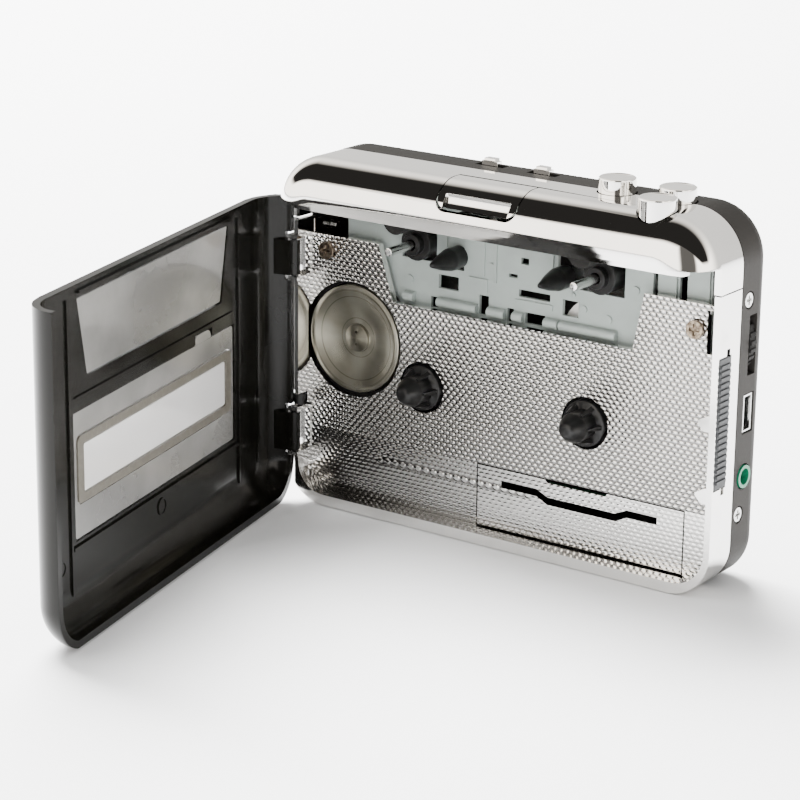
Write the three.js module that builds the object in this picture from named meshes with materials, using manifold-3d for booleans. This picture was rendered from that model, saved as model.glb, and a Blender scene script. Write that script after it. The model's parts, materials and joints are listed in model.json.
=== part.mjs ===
// Portable cassette player, standing on its long bottom edge with its door swung open.
// Millimetres. X runs along the body, Y from the door side to the back, Z up.
// X = 0 is the middle, Y = 0 the face of the cassette floor, Z = 0 the bottom face.
import * as THREE from 'three';
import { mergeVertices } from 'three/addons/utils/BufferGeometryUtils.js';
import Module from 'manifold-3d';

const wasm = await Module();
wasm.setup();

// ---------------------------------------------------------------- driving dimensions
const HALF_W = 55.3; // half the length of the body
const HEIGHT = 81.2; // bottom face to top face
const FRONT_Y = -12.8; // front of the band and of the closed door
const PART_Y = -4.7; // front edge of the low walls, where the door lands
const SEAM_Y = 4.0; // back edge of the chrome half
const BACK_Y = 16.0; // back face of the dark rear shell
const CORNER_LOW = 10; // outline radius at the two lower corners
const CORNER_TOP = 11.5; // outline radius at the two upper corners
const ROLL = 9; // how far the front edges roll in, seen from the front
const ROLL_DEPTH = 8.1; // how far back that roll reaches
const BACK_ROLL = 5; // rounding of the rear shell's back edge
const SKIN = 1.6; // wall of the moulded covers
const GAP = 0.3; // clearance between neighbouring pieces

const HUB_X = 21.25; // half the distance between the reel centres
const HUB_Z = 31.2; // reel centres above the bottom face
const CAPSTAN_X = 23.6;
const CAPSTAN_Z = HUB_Z + 32.3;
const GUIDE_X = 13.8;
const GUIDE_Z = HUB_Z + 30.4;
const MOTOR_X = -40.4;
const MOTOR_Z = HUB_Z + 7.7;
const MOTOR_R = 12.4;

const COVER_SPLIT_Z = HUB_Z + 34.4; // chrome top cover meets the cassette frame
const BAND_Z = HUB_Z + 40.0; // lower edge of the band's front
const LIP_Z = HUB_Z + 38.5; // lower edge of the rebate under the band
const DOOR_TOP_Z = HUB_Z + 39.3;
const DOOR_LOW_Z = 0.4;
const HINGE_X = -53.7;
const HINGE_Y = -4.3;
const DOOR_OPEN_DEG = 76;

const WALL_X = 52.2; // inner face of the cassette well's wall on the hinge side
const RIGHT_WALL_X = 53.9; // inner face of the thin wall on the other side
const WELL_LOW_Z = 2.4; // top of the bottom wall inside the well
const FLOOR_T = 1.6; // thickness of the cassette floor
const FLOOR_TOP_Z = HUB_Z + 30.7;
const HEAD_OPENING_Z = HUB_Z + 18.1;
const PLATE_Y = 3.0; // front of the mechanism plate
const PLATE_T = 0.9;

const BATTERY_X0 = -6.1;
const BATTERY_X1 = 46.5;
const BATTERY_Z1 = HUB_Z - 14.3;
const BATTERY_T = 1.3;
const BATTERY_PIVOT_Y = 0.8;
const BATTERY_PIVOT_Z = 3.7;

const KEY_R = 4.0;
const KEYS = [
  { name: 'play_key', x: 25.0, y: 3.8, top: HUB_Z + 53.3 },
  { name: 'forward_key', x: 39.0, y: 4.6, top: HUB_Z + 53.1 },
  { name: 'stop_key', x: 40.2, y: -5.4, top: HUB_Z + 52.8 },
];
const KEY_LENGTH = 7.6;
const KEY_SEAT_Z = HUB_Z + 41.2; // folded flange under the keys, where their springs stand
const SWITCHES = [
  { name: 'mode_switch', x: -10.2, y: 9.4 },
  { name: 'tape_type_switch', x: 3.4, y: 9.0 },
];
const WHEEL = { x: 47.6, y: 9.3, z: HUB_Z + 21.3, r: 8.2, t: 2.2 };
const USB = { y: 8.9, z: HUB_Z + 6.7, long: 8.0, wide: 3.6 };
const JACK = { y: 8.3, z: HUB_Z - 7.0, r: 2.5 };
const SIDE_SCREWS = [
  { y: 7.3, z: HUB_Z + 31.1 },
  { y: 6.9, z: HUB_Z - 15.1 },
];
const FLOOR_SCREWS = [
  { x: -47.5, z: HUB_Z + 27.2 },
  { x: 47.3, z: HUB_Z + 25.2 },
];
const GRIP = { y: -1.8, z: HUB_Z + 6.9, long: 27.8, wide: 4.4 };
const LATCH_BACK_Y = -3.2; // back edge of the latch button
const LATCH_TRAVEL_GAP = 0.7; // free space the button moves into

// Heights covered by the two hinge arms.
const HINGE_ZONES = [
  [HUB_Z - 19.5, HUB_Z - 10.5],
  [HUB_Z + 21.6, HUB_Z + 29.6],
];
const HINGE_SPRING_Z = HINGE_ZONES[0][1] + 1.6;
const UPPER_WINDOW = [
  [-30.5, HUB_Z + 19.7],
  [30.5, HUB_Z + 19.7],
  [34.2, HUB_Z + 36.4],
  [-34.2, HUB_Z + 36.4],
];
const MIDDLE_WINDOW = { x: 36.7, z0: HUB_Z - 13.3, z1: HUB_Z + 13.5 };
const RING = { x: 35.4, z0: HUB_Z - 6.2, z1: HUB_Z + 8.4 };
const LABEL_WINDOW = { x: 32.6, z0: HUB_Z - 4.2, z1: HUB_Z + 6.3 };

const PINCH_PIVOT_X = 33;
const PINCH_PIVOT_Z = HUB_Z + 40.0;
const PINCH_X = CAPSTAN_X;
const PINCH_Z = HUB_Z + 38.9;
const FLYWHEEL_R = 12.5;
const PULLEY_R = 2.5;
const BELT_Y0 = 10.3;
const BELT_Y1 = 12.1;
const IDLER_X = HUB_X;
const IDLER_Z = HUB_Z + 17.0;
const IDLER_R = 9.4;

// ---------------------------------------------------------------- materials
function finish(color, roughness, metalness) {
  return { color, roughness, metalness };
}
const CHROME = finish(0xdedcd6, 0.1, 1.0);
const CHROME_TEXTURED = finish(0xcfccc4, 0.25, 1.0);
const REAR_GREY = finish(0x4a4745, 0.55, 0.0);
const GLOSS_BLACK = finish(0x1b1b1c, 0.2, 0.0);
const LENS_GREY = finish(0x9a9897, 0.15, 0.0);
const LENS_OLIVE = finish(0x7d7a6e, 0.4, 0.0);
const LENS_CLEAR = finish(0xe6e6e4, 0.08, 0.0);
const STEEL = finish(0xc3c3c0, 0.25, 1.0);
const SPRING_STEEL = finish(0xb9b9b4, 0.3, 1.0);
const ZINC = finish(0xa3aaa4, 0.45, 0.6);
const MOTOR_BRASS = finish(0x9d988a, 0.3, 1.0);
const BLACK_PLASTIC = finish(0x19191a, 0.35, 0.0);
const RUBBER = finish(0x1e1d1c, 0.8, 0.0);
const RIBBED_GREY = finish(0x6f7276, 0.6, 0.0);
const GREEN_PLASTIC = finish(0x1d7a52, 0.35, 0.0);
const BOARD_GREEN = finish(0x1f5a3a, 0.5, 0.0);
const WHITE_PLASTIC = finish(0xdcdad2, 0.45, 0.0);

// ---------------------------------------------------------------- solids
// A closed solid from a three.js geometry, its shared corners merged.
function solid(geometry) {
  geometry.deleteAttribute('normal');
  geometry.deleteAttribute('uv');
  const merged = mergeVertices(geometry, 1e-4);
  const mesh = new wasm.Mesh({
    numProp: 3,
    vertProperties: merged.attributes.position.array,
    triVerts: Uint32Array.from(merged.index.array),
  });
  return new wasm.Manifold(mesh);
}

function join(first, ...others) {
  return others.reduce((sum, other) => sum.add(other), first);
}

function cut(first, ...tools) {
  return tools.reduce((rest, tool) => rest.subtract(tool), first);
}

function box(x0, x1, y0, y1, z0, z1) {
  const geometry = new THREE.BoxGeometry(x1 - x0, y1 - y0, z1 - z0);
  geometry.translate((x0 + x1) / 2, (y0 + y1) / 2, (z0 + z1) / 2);
  return solid(geometry);
}

// Round bars along each axis, given by the two coordinates of the centre line.
function barX(y, z, r, x0, x1, sides = 20) {
  const geometry = new THREE.CylinderGeometry(r, r, x1 - x0, sides);
  geometry.rotateZ(Math.PI / 2);
  geometry.translate((x0 + x1) / 2, y, z);
  return solid(geometry);
}

function barY(x, z, r, y0, y1, sides = 24) {
  const geometry = new THREE.CylinderGeometry(r, r, y1 - y0, sides);
  geometry.translate(x, (y0 + y1) / 2, z);
  return solid(geometry);
}

function barZ(x, y, r, z0, z1, sides = 24) {
  const geometry = new THREE.CylinderGeometry(r, r, z1 - z0, sides);
  geometry.rotateX(Math.PI / 2);
  geometry.translate(x, y, (z0 + z1) / 2);
  return solid(geometry);
}

// A front-view shape (x, z) given thickness from y0 back to y1.
function plate(shape, y0, y1, curveSegments = 8) {
  const geometry = new THREE.ExtrudeGeometry(shape, { depth: y1 - y0, bevelEnabled: false, curveSegments });
  geometry.rotateX(Math.PI / 2);
  geometry.translate(0, y1, 0);
  return solid(geometry);
}

// A turned piece whose axis runs along Y; the profile lists [radius, y] and starts and ends on the axis.
function turned(profile, sides = 32) {
  const points = profile.map(([radius, y]) => new THREE.Vector2(radius, y));
  return solid(new THREE.LatheGeometry(points, sides));
}

function polygon(points) {
  return new THREE.Shape(points.map(([x, z]) => new THREE.Vector2(x, z)));
}

// Rectangle with its own radius at each corner: lower left, lower right, upper right, upper left.
function roundedRect(x0, x1, z0, z1, radii) {
  const [lowLeft, lowRight, topRight, topLeft] = Array.isArray(radii) ? radii : Array(4).fill(radii);
  const shape = new THREE.Shape();
  shape.moveTo(x0 + lowLeft, z0);
  shape.absarc(x1 - lowRight, z0 + lowRight, lowRight, -Math.PI / 2, 0);
  shape.absarc(x1 - topRight, z1 - topRight, topRight, 0, Math.PI / 2);
  shape.absarc(x0 + topLeft, z1 - topLeft, topLeft, Math.PI / 2, Math.PI);
  shape.absarc(x0 + lowLeft, z0 + lowLeft, lowLeft, Math.PI, Math.PI * 1.5);
  return shape;
}

function bodyOutline(inset) {
  const low = CORNER_LOW - inset;
  const top = CORNER_TOP - inset;
  return roundedRect(-HALF_W + inset, HALF_W - inset, inset, HEIGHT - inset, [low, low, top, top]);
}

// The whole body's outer block, rolled over at the front; inset gives the space inside a cover.
function rolledFront(inset, backY) {
  const depth = 30;
  const thickness = ROLL_DEPTH - inset;
  const geometry = new THREE.ExtrudeGeometry(bodyOutline(inset), {
    depth,
    bevelEnabled: true,
    bevelThickness: thickness,
    bevelSize: ROLL - inset,
    bevelOffset: inset - ROLL,
    bevelSegments: 5,
    curveSegments: 7,
  });
  geometry.rotateX(Math.PI / 2);
  geometry.translate(0, FRONT_Y + inset + thickness + depth, 0);
  return solid(geometry).intersect(box(-80, 80, -40, backY, -10, 100));
}

// The same block, rounded over at the back edge.
function rolledBack(inset, frontY) {
  const depth = 30;
  const roll = BACK_ROLL - inset;
  const geometry = new THREE.ExtrudeGeometry(bodyOutline(inset), {
    depth,
    bevelEnabled: true,
    bevelThickness: roll,
    bevelSize: roll,
    bevelOffset: -roll,
    bevelSegments: 3,
    curveSegments: 7,
  });
  geometry.rotateX(Math.PI / 2);
  geometry.translate(0, BACK_Y - inset - roll, 0);
  return solid(geometry).intersect(box(-80, 80, frontY, 40, -10, 100));
}

// A helical compression spring standing along Z, wound from a hexagonal wire.
function coil(x, y, radius, wire, z0, z1, turns) {
  const points = [];
  const steps = turns * 8;
  for (let i = 0; i <= steps; i += 1) {
    const angle = (i / 8) * Math.PI * 2;
    const z = z0 + wire + ((z1 - z0 - 2 * wire) * i) / steps;
    points.push(new THREE.Vector3(x + radius * Math.cos(angle), y + radius * Math.sin(angle), z));
  }
  const section = new THREE.Shape();
  section.absarc(0, 0, wire, 0, Math.PI * 2);
  return solid(new THREE.ExtrudeGeometry(section, {
    steps,
    curveSegments: 3,
    bevelEnabled: false,
    extrudePath: new THREE.CatmullRomCurve3(points),
  }));
}

const player = new THREE.Group();

function addPiece(name, shape, look, parent = player) {
  const data = shape.getMesh();
  const geometry = new THREE.BufferGeometry();
  geometry.setAttribute('position', new THREE.BufferAttribute(data.vertProperties, 3));
  geometry.setIndex(new THREE.BufferAttribute(data.triVerts, 1));
  geometry.computeVertexNormals();
  const mesh = new THREE.Mesh(geometry, new THREE.MeshStandardMaterial(look));
  mesh.name = name;
  parent.add(mesh);
  return mesh;
}

// ---------------------------------------------------------------- top cover and latch
// Front outline of the latch button: straight sides and a smile-shaped lower edge.
function latchOutline(inset, lift) {
  const half = 10.2 - inset;
  const low = HUB_Z + 43.9 + lift;
  const shape = new THREE.Shape();
  shape.moveTo(-half, HEIGHT + 5);
  shape.lineTo(-half, low + 1.7);
  shape.quadraticCurveTo(-half + 0.6, low, -half + 4, low);
  shape.lineTo(half - 4, low);
  shape.quadraticCurveTo(half - 0.6, low, half, low + 1.7);
  shape.lineTo(half, HEIGHT + 5);
  return shape;
}

function keyHoles() {
  const holes = KEYS.map((key) => barZ(key.x, key.y, KEY_R + GAP, HUB_Z + 36, HEIGHT + 5, 28));
  return join(...holes);
}

// The cover with its hollow, before the openings are made.
function coverSkin() {
  const outer = rolledFront(0, SEAM_Y);
  const shelfTop = BAND_Z + 1.4;
  const band = outer.intersect(box(-80, 80, -40, SEAM_Y, BAND_Z, 100));
  const sides = outer.intersect(box(-80, 80, PART_Y, SEAM_Y, COVER_SPLIT_Z, BAND_Z + 1));
  const inside = rolledFront(SKIN, SEAM_Y + 1);
  const insideDoor = rolledFront(SKIN + 0.5, SEAM_Y + 1);
  const hollow = inside.intersect(box(-80, 80, -40, SEAM_Y + 1, shelfTop, 100));
  const below = inside.intersect(box(-80, 80, -9.4, SEAM_Y + 1, COVER_SPLIT_Z - 1, shelfTop + 1));
  const strip = plate(roundedRect(-52, 52, LIP_Z, BAND_Z + 4, [3, 3, 0.5, 0.5]), -10.8, -9.4);
  const rebate = strip.intersect(insideDoor).intersect(box(-80, 80, -40, 0, LIP_Z, BAND_Z + 0.5));
  return join(cut(join(band, sides), hollow, below), rebate);
}


function topCover() {
  const latchHole = plate(latchOutline(0, 0), -20, LATCH_BACK_Y + LATCH_TRAVEL_GAP);
  const hingeRelief = box(-60, -53.2, PART_Y - 1, -2.4, COVER_SPLIT_Z - 1, BAND_Z);
  return cut(coverSkin(), latchHole, keyHoles(), hingeRelief);
}

function latchButton() {
  const zone = plate(latchOutline(GAP, LATCH_TRAVEL_GAP), -20, LATCH_BACK_Y);
  const skin = coverSkin().intersect(zone);
  const hook = box(-3, 3, -10.6, -9.4, HUB_Z + 45.5, HUB_Z + 48.5);
  return join(skin, hook);
}

// ---------------------------------------------------------------- cassette frame
function frameHoles() {
  const holes = [
    plate(polygon([
      [-29.4, HEAD_OPENING_Z],
      [32.3, HEAD_OPENING_Z],
      [34.9, FLOOR_TOP_Z + 1],
      [-33.8, FLOOR_TOP_Z + 1],
    ]), -1, FLOOR_T + 1),
    barY(MOTOR_X, MOTOR_Z, MOTOR_R + 0.9, -1, FLOOR_T + 1, 40),
    box(-53, MOTOR_X - 8, -0.2, FLOOR_T + 1, MOTOR_Z - 1.5, MOTOR_Z + 1.5),
    box(BATTERY_X0, BATTERY_X1, -1, FLOOR_T + 1, WELL_LOW_Z, BATTERY_Z1),
    barX(BATTERY_PIVOT_Y, BATTERY_PIVOT_Z, 0.7, BATTERY_X0 - 1.6, BATTERY_X1 + 1.6, 16),
    box(49.9, 52.6, -1, FLOOR_T + 1, HUB_Z + 20.4, HUB_Z + 29.6),
  ];
  for (const side of [-1, 1]) {
    holes.push(barY(side * HUB_X, HUB_Z, 5.8, -1, FLOOR_T + 1, 32));
  }
  for (const screw of FLOOR_SCREWS) {
    holes.push(barY(screw.x, screw.z, 1.3, -1, FLOOR_T + 1, 16));
  }
  return holes;
}

function hingeRecesses() {
  const recesses = HINGE_ZONES.map(([z0, z1]) => box(-56, -51.2, PART_Y - 1, -0.4, z0 - GAP, z1 + GAP));
  return join(...recesses);
}

// Lugs above and below each hinge arm, which hold the hinge pin's ends.
function hingeLugs() {
  const lugs = [];
  for (const [z0, z1] of HINGE_ZONES) {
    for (const [low, high] of [[z0 - 1.3, z0 - GAP], [z1 + GAP, z1 + 1.3]]) {
      lugs.push(box(-54.7, -52.0, -5.3, -2.0, low, high));
    }
  }
  return join(...lugs);
}

function springPocket() {
  return box(-56, -49.8, PART_Y - 1, -1.3, HINGE_SPRING_Z - GAP, HINGE_SPRING_Z + 2.4 + GAP);
}

function screwTabs() {
  const tabs = [];
  for (const side of [-1, 1]) {
    for (const screw of SIDE_SCREWS) {
      const x = side * 52.7;
      const tab = box(x - 0.6, x + 0.6, FLOOR_T - 0.4, screw.y + 2.4, screw.z - 2.4, screw.z + 2.4);
      tabs.push(cut(tab, barX(screw.y, screw.z, 1.2, x - 2, x + 2, 12)));
    }
  }
  return join(...tabs);
}

function cassetteFrame() {
  const block = plate(bodyOutline(0), PART_Y, SEAM_Y).intersect(box(-80, 80, -10, 10, -1, COVER_SPLIT_Z - GAP));
  const wellShape = roundedRect(-WALL_X, RIGHT_WALL_X, WELL_LOW_Z, HEIGHT, [6.8, 7.6, 2, 2]);
  const well = plate(wellShape, PART_Y - 1, 0);
  const behind = plate(bodyOutline(2.0), FLOOR_T, SEAM_Y + 1);
  const aboveFloor = box(-WALL_X, 53.2, -1, SEAM_Y + 1, FLOOR_TOP_Z, HEIGHT);
  const doorRelief = box(-60, -53.2, PART_Y - 1, -2.4, 3, HEIGHT);
  const gripEnds = box(54.6, 60, GRIP.y + 0.6, GRIP.y + 1.9, GRIP.z - 15.6, GRIP.z + 15.6);
  const gripRecess = box(54.5, 60, GRIP.y - 2.5, GRIP.y + 2.5, GRIP.z - 14.2, GRIP.z + 14.2);
  const body = cut(block, well, behind, aboveFloor, doorRelief, gripEnds, gripRecess);
  const drilled = cut(body, ...frameHoles(), hingeRecesses(), springPocket());
  const pinBores = HINGE_ZONES.map(([z0, z1]) => barZ(HINGE_X, HINGE_Y, 0.8, z0 - 1.5, z1 + 1.5, 16));
  return cut(join(drilled, hingeLugs(), screwTabs()), ...pinBores);
}

// Cover over the battery bay: a flat plate with a finger notch, a long slot and two hinge stubs.
function batteryCover() {
  const x0 = BATTERY_X0 + GAP;
  const x1 = BATTERY_X1 - GAP;
  const top = BATTERY_Z1 - GAP;
  const outline = polygon([
    [x0, WELL_LOW_Z + 0.4],
    [x1, WELL_LOW_Z + 0.4],
    [x1, top],
    [27.4, top],
    [27.0, top - 0.6],
    [12.4, top - 0.6],
    [11.6, top],
    [x0, top],
  ]);
  const slot = polygon([
    [0.4, HUB_Z - 18.8],
    [9.6, HUB_Z - 18.8],
    [12.4, HUB_Z - 20.2],
    [29.6, HUB_Z - 20.2],
    [32.4, HUB_Z - 18.8],
    [39.8, HUB_Z - 18.8],
    [39.8, HUB_Z - 17.2],
    [32.4, HUB_Z - 17.2],
    [29.6, HUB_Z - 18.5],
    [12.4, HUB_Z - 18.5],
    [9.6, HUB_Z - 17.2],
    [0.4, HUB_Z - 17.2],
  ]);
  const body = cut(plate(outline, 0, BATTERY_T), plate(slot, -1, 3));
  const stubs = [
    barX(BATTERY_PIVOT_Y, BATTERY_PIVOT_Z, 0.5, x0 - 1.2, x0 + 0.4, 12),
    barX(BATTERY_PIVOT_Y, BATTERY_PIVOT_Z, 0.5, x1 - 0.4, x1 + 1.2, 12),
  ];
  return join(body, ...stubs);
}

// ---------------------------------------------------------------- rear shell
function rearShell() {
  const front = SEAM_Y + GAP;
  const outer = rolledBack(0, front);
  const inner = rolledBack(SKIN, front - 1);
  const shelf = box(-51.2, 51.2, front, BACK_Y - 1, BATTERY_Z1 + 0.2, BATTERY_Z1 + 1.4);
  const openings = [
    keyHoles(),
    box(50, 60, WHEEL.y - 1.5, WHEEL.y + 1.5, WHEEL.z - 6.4, WHEEL.z + 6.4),
    box(50, 60, USB.y - 2.1, USB.y + 2.1, USB.z - 4.3, USB.z + 4.3),
    barX(JACK.y, JACK.z, JACK.r + GAP, 50, 60, 24),
  ];
  for (const item of SWITCHES) {
    openings.push(box(item.x - 3.6, item.x + 3.6, item.y - 1.2, item.y + 1.2, HEIGHT - 4, HEIGHT + 4));
  }
  for (const screw of SIDE_SCREWS) {
    openings.push(barX(screw.y, screw.z, 1.9, -60, -50, 20));
    openings.push(barX(screw.y, screw.z, 1.9, 50, 60, 20));
  }
  return cut(join(cut(outer, inner), shelf), ...openings);
}

// ---------------------------------------------------------------- door
function scaledTowards(points, amount) {
  const cx = points.reduce((sum, p) => sum + p[0], 0) / points.length;
  const cz = points.reduce((sum, p) => sum + p[1], 0) / points.length;
  return points.map(([x, z]) => [x - Math.sign(x - cx) * amount, z - Math.sign(z - cz) * amount]);
}

function windowShape(size, inset, radius) {
  return roundedRect(-size.x + inset, size.x - inset, size.z0 + inset, size.z1 - inset, radius);
}

function doorShell() {
  const outer = rolledFront(0, PART_Y - GAP).intersect(box(-80, 80, -40, 40, DOOR_LOW_Z, DOOR_TOP_Z));
  const inner = rolledFront(SKIN, PART_Y + 1).intersect(box(-80, 80, -40, 40, DOOR_LOW_Z + SKIN, 100));
  const rimRelief = join(...HINGE_ZONES.map(([z0, z1]) => box(-60, -50, -6.4, 0, z0 - 1.6, z1 + 1.6)));
  const windows = [
    plate(polygon(UPPER_WINDOW), -20, 0),
    plate(windowShape(MIDDLE_WINDOW, 0, 1.0), -20, 0, 3),
  ];
  const arms = HINGE_ZONES.map(([z0, z1]) => cut(
    join(box(-55.0, -52.0, -8.4, -4.4, z0, z1), barZ(HINGE_X, HINGE_Y, 1.4, z0, z1, 16)),
    barZ(HINGE_X, HINGE_Y, 0.95, z0 - 1, z1 + 1, 12),
  ));
  return join(cut(outer, inner, rimRelief, ...windows), ...arms);
}

function buildDoor() {
  const hinge = new THREE.Group();
  hinge.position.set(HINGE_X, HINGE_Y, 0);
  hinge.rotation.z = THREE.MathUtils.degToRad(-DOOR_OPEN_DEG);
  const closed = new THREE.Group();
  closed.position.set(-HINGE_X, -HINGE_Y, 0);
  hinge.add(closed);
  player.add(hinge);

  const back = FRONT_Y + SKIN;
  const clearance = GAP;
  addPiece('door_shell', doorShell(), GLOSS_BLACK, closed);
  const upper = polygon(scaledTowards(UPPER_WINDOW, clearance));
  addPiece('door_upper_lens', plate(upper, FRONT_Y + 0.3, back - 0.2), LENS_GREY, closed);
  const middle = windowShape(MIDDLE_WINDOW, clearance, 0.8);
  middle.holes.push(windowShape(RING, 0, 1.6));
  addPiece('door_middle_lens', plate(middle, FRONT_Y + 0.3, back - 0.2, 3), LENS_GREY, closed);
  const ring = windowShape(RING, clearance, 1.4);
  ring.holes.push(windowShape(LABEL_WINDOW, 0, 0.6));
  addPiece('door_lens_ring', plate(ring, FRONT_Y + 0.3, back, 3), LENS_OLIVE, closed);
  const label = windowShape(LABEL_WINDOW, clearance, 0.5);
  addPiece('door_label_window', plate(label, FRONT_Y + 0.3, back - 0.2, 2), LENS_CLEAR, closed);
}

function buildHinges() {
  HINGE_ZONES.forEach(([z0, z1], i) => {
    const name = i === 0 ? 'hinge_pin_lower' : 'hinge_pin_upper';
    addPiece(name, barZ(HINGE_X, HINGE_Y, 0.6, z0 - 1.2, z1 + 1.2, 12), STEEL);
  });
  const springLow = HINGE_SPRING_Z;
  const ring = cut(
    barZ(HINGE_X + 0.6, HINGE_Y + 1.3, 1.3, springLow, springLow + 2.4, 16),
    barZ(HINGE_X + 0.6, HINGE_Y + 1.3, 0.7, springLow - 1, springLow + 4, 12),
  );
  const leg = box(HINGE_X + 1.2, HINGE_X + 3.4, HINGE_Y + 1.7, HINGE_Y + 2.2, springLow, springLow + 0.5);
  addPiece('hinge_spring', join(ring, leg), SPRING_STEEL);
}

// ---------------------------------------------------------------- controls
function buildKeys() {
  for (const key of KEYS) {
    const low = key.top - KEY_LENGTH;
    const cap = join(
      barZ(0, 0, KEY_R - 0.3, KEY_LENGTH - 0.4, KEY_LENGTH, 28),
      barZ(0, 0, KEY_R, 0, KEY_LENGTH - 0.4, 28),
    );
    const mesh = addPiece(key.name, cap, CHROME);
    mesh.position.set(key.x, key.y, low);
    const spring = coil(key.x, key.y, 1.7, 0.3, KEY_SEAT_Z + 0.1, low - 0.1, 3.5);
    addPiece(key.name.replace('_key', '_key_spring'), spring, SPRING_STEEL);
  }
}

function buildSwitches() {
  const knob = join(
    box(-2, 2, -0.9, 0.9, -2.4, 1.0),
    box(-1.4, 1.4, -0.9, 0.9, 0.9, 1.6),
    box(-5.6, 5.6, -1.0, 1.0, -3.2, -2.2),
  );
  for (const item of SWITCHES) {
    addPiece(item.name, knob, CHROME).position.set(item.x, item.y, HEIGHT);
  }
}

function volumeWheel() {
  const teeth = [];
  const count = 30;
  for (let i = 0; i < count; i += 1) {
    for (const [at, r] of [[0, WHEEL.r], [0.5, WHEEL.r], [0.5, WHEEL.r - 0.35], [1, WHEEL.r - 0.35]]) {
      const angle = ((i + at) / count) * Math.PI * 2;
      teeth.push([r * Math.cos(angle), r * Math.sin(angle)]);
    }
  }
  return cut(plate(polygon(teeth), -WHEEL.t / 2, WHEEL.t / 2), barY(0, 0, 1.5, -3, 3, 16));
}

function usbSocket() {
  const x1 = HALF_W - 0.2;
  const x0 = x1 - 7.6;
  const half = { y: USB.wide / 2, z: USB.long / 2 };
  const shell = box(x0, x1, USB.y - half.y, USB.y + half.y, USB.z - half.z, USB.z + half.z);
  const hollowY = half.y - 0.45;
  const hollowZ = half.z - 0.45;
  const hollow = box(x0 + 1, x1 + 1, USB.y - hollowY, USB.y + hollowY, USB.z - hollowZ, USB.z + hollowZ);
  const tongue = box(x0 + 0.5, x1 - 0.9, USB.y - 0.4, USB.y + 0.4, USB.z - 2.4, USB.z + 2.4);
  return join(cut(shell, hollow), tongue);
}

function jackSocket() {
  const x1 = HALF_W + 0.3;
  const body = box(x1 - 12, x1 - 3.2, JACK.y - 2.5, JACK.y + 2.5, JACK.z - 3.4, JACK.z + 3.4);
  const collar = barX(JACK.y, JACK.z, JACK.r, x1 - 3.6, x1, 24);
  return cut(join(body, collar), barX(JACK.y, JACK.z, 1.75, x1 - 10.5, x1 + 1, 20));
}

function gripStrip() {
  const ribs = [];
  const pitch = 1.3;
  const count = Math.floor((GRIP.long - 1.6) / pitch);
  for (let i = 0; i < count; i += 1) {
    const z = -GRIP.long / 2 + 1.1 + i * pitch;
    ribs.push(box(0.5, 0.95, -GRIP.wide / 2 + 0.3, GRIP.wide / 2 - 0.3, z, z + 0.7));
  }
  const half = GRIP.long / 2;
  return join(box(0, 0.6, -GRIP.wide / 2, GRIP.wide / 2, -half, half), ...ribs);
}

// ---------------------------------------------------------------- mechanism
// Windows of the mechanism plate: x from, x to, height above the reel centres from and to.
const PLATE_WINDOWS = [
  [-29.1, -19.3, 28.1, 36.5],
  [11.6, 28.2, 27.9, 36.5],
  [-15.4, -12.5, 27.3, 32.0],
  [-19.2, -13.9, 22.5, 25.6],
  [1.8, 9.8, 24.0, 25.6],
  [13.0, 17.0, 21.7, 25.2],
  [-0.9, 1.4, 27.9, 28.7],
  [-2.2, 2.2, 32.0, 36.0],
  [-21.2, -19.2, 17.8, 20.3],
  [-8.4, -5.9, 18.3, 22.7],
  [-1.1, 0.6, 17.9, 21.0],
  [3.6, 8.7, 18.3, 20.8],
  [35.0, 36.1, 26.0, 38.5],
  [41.3, 43.1, 26.0, 38.5],
];

// Rolled-over tabs along the plate's lower edge: x from and to.
const PLATE_ROLLS = [
  [-28.0, -25.3],
  [-19.0, -8.6],
  [-5.7, -1.3],
  [0.8, 3.4],
  [8.9, 12.4],
  [12.8, 26.8],
];

function mechanismPlate() {
  const sheet = plate(polygon([
    [-44, HUB_Z + 28.8],
    [-33, HUB_Z + 17.4],
    [-31, HUB_Z + 14.5],
    [42, HUB_Z + 14.5],
    [49, HUB_Z + 22],
    [49, KEY_SEAT_Z],
    [-44, KEY_SEAT_Z],
  ]), PLATE_Y, PLATE_Y + PLATE_T);
  const openings = PLATE_WINDOWS.map(([x0, x1, z0, z1]) => box(x0, x1, 2, 6, HUB_Z + z0, HUB_Z + z1));
  openings.push(barY(MOTOR_X, MOTOR_Z, MOTOR_R + 2.4, 2, 6, 40));
  const rolls = PLATE_ROLLS.map(([x0, x1]) => barX(PLATE_Y - 0.4, HUB_Z + 19.5, 1.1, x0, x1, 14));
  const posts = [
    box(21.0, 43.5, 0.6, 8.0, HUB_Z + 40.3, KEY_SEAT_Z),
    box(36.4, 44.0, -8.4, PLATE_Y + 0.2, HUB_Z + 40.3, KEY_SEAT_Z),
    barY(IDLER_X, IDLER_Z, 1.0, PLATE_Y + 0.2, 6.8, 14),
  ];
  for (const side of [-1, 1]) {
    posts.push(barY(side * PINCH_PIVOT_X, PINCH_PIVOT_Z, 1.0, -2.4, PLATE_Y + 0.2, 14));
  }
  return join(cut(sheet, ...openings), ...rolls, ...posts);
}

function pinchArm(side) {
  const dx = side * (PINCH_X - PINCH_PIVOT_X);
  const dz = PINCH_Z - PINCH_PIVOT_Z;
  const arm = join(
    barY(0, 0, 2.1, -1.6, -0.4, 18),
    barY(dx, dz, 1.7, -1.6, -0.4, 18),
    box(Math.min(0, dx), Math.max(0, dx), -1.6, -0.4, dz - 0.8, 0.8),
    barY(dx, dz, 0.8, -8.4, -1.0, 12),
  );
  return cut(arm, barY(0, 0, 1.3, -3, 1, 14));
}

function pinchRoller() {
  return turned([[1.1, -7.9], [3.0, -7.9], [3.2, -7.6], [3.2, -2.4], [3.0, -2.1], [1.1, -2.1], [1.1, -7.9]], 24);
}

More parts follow.
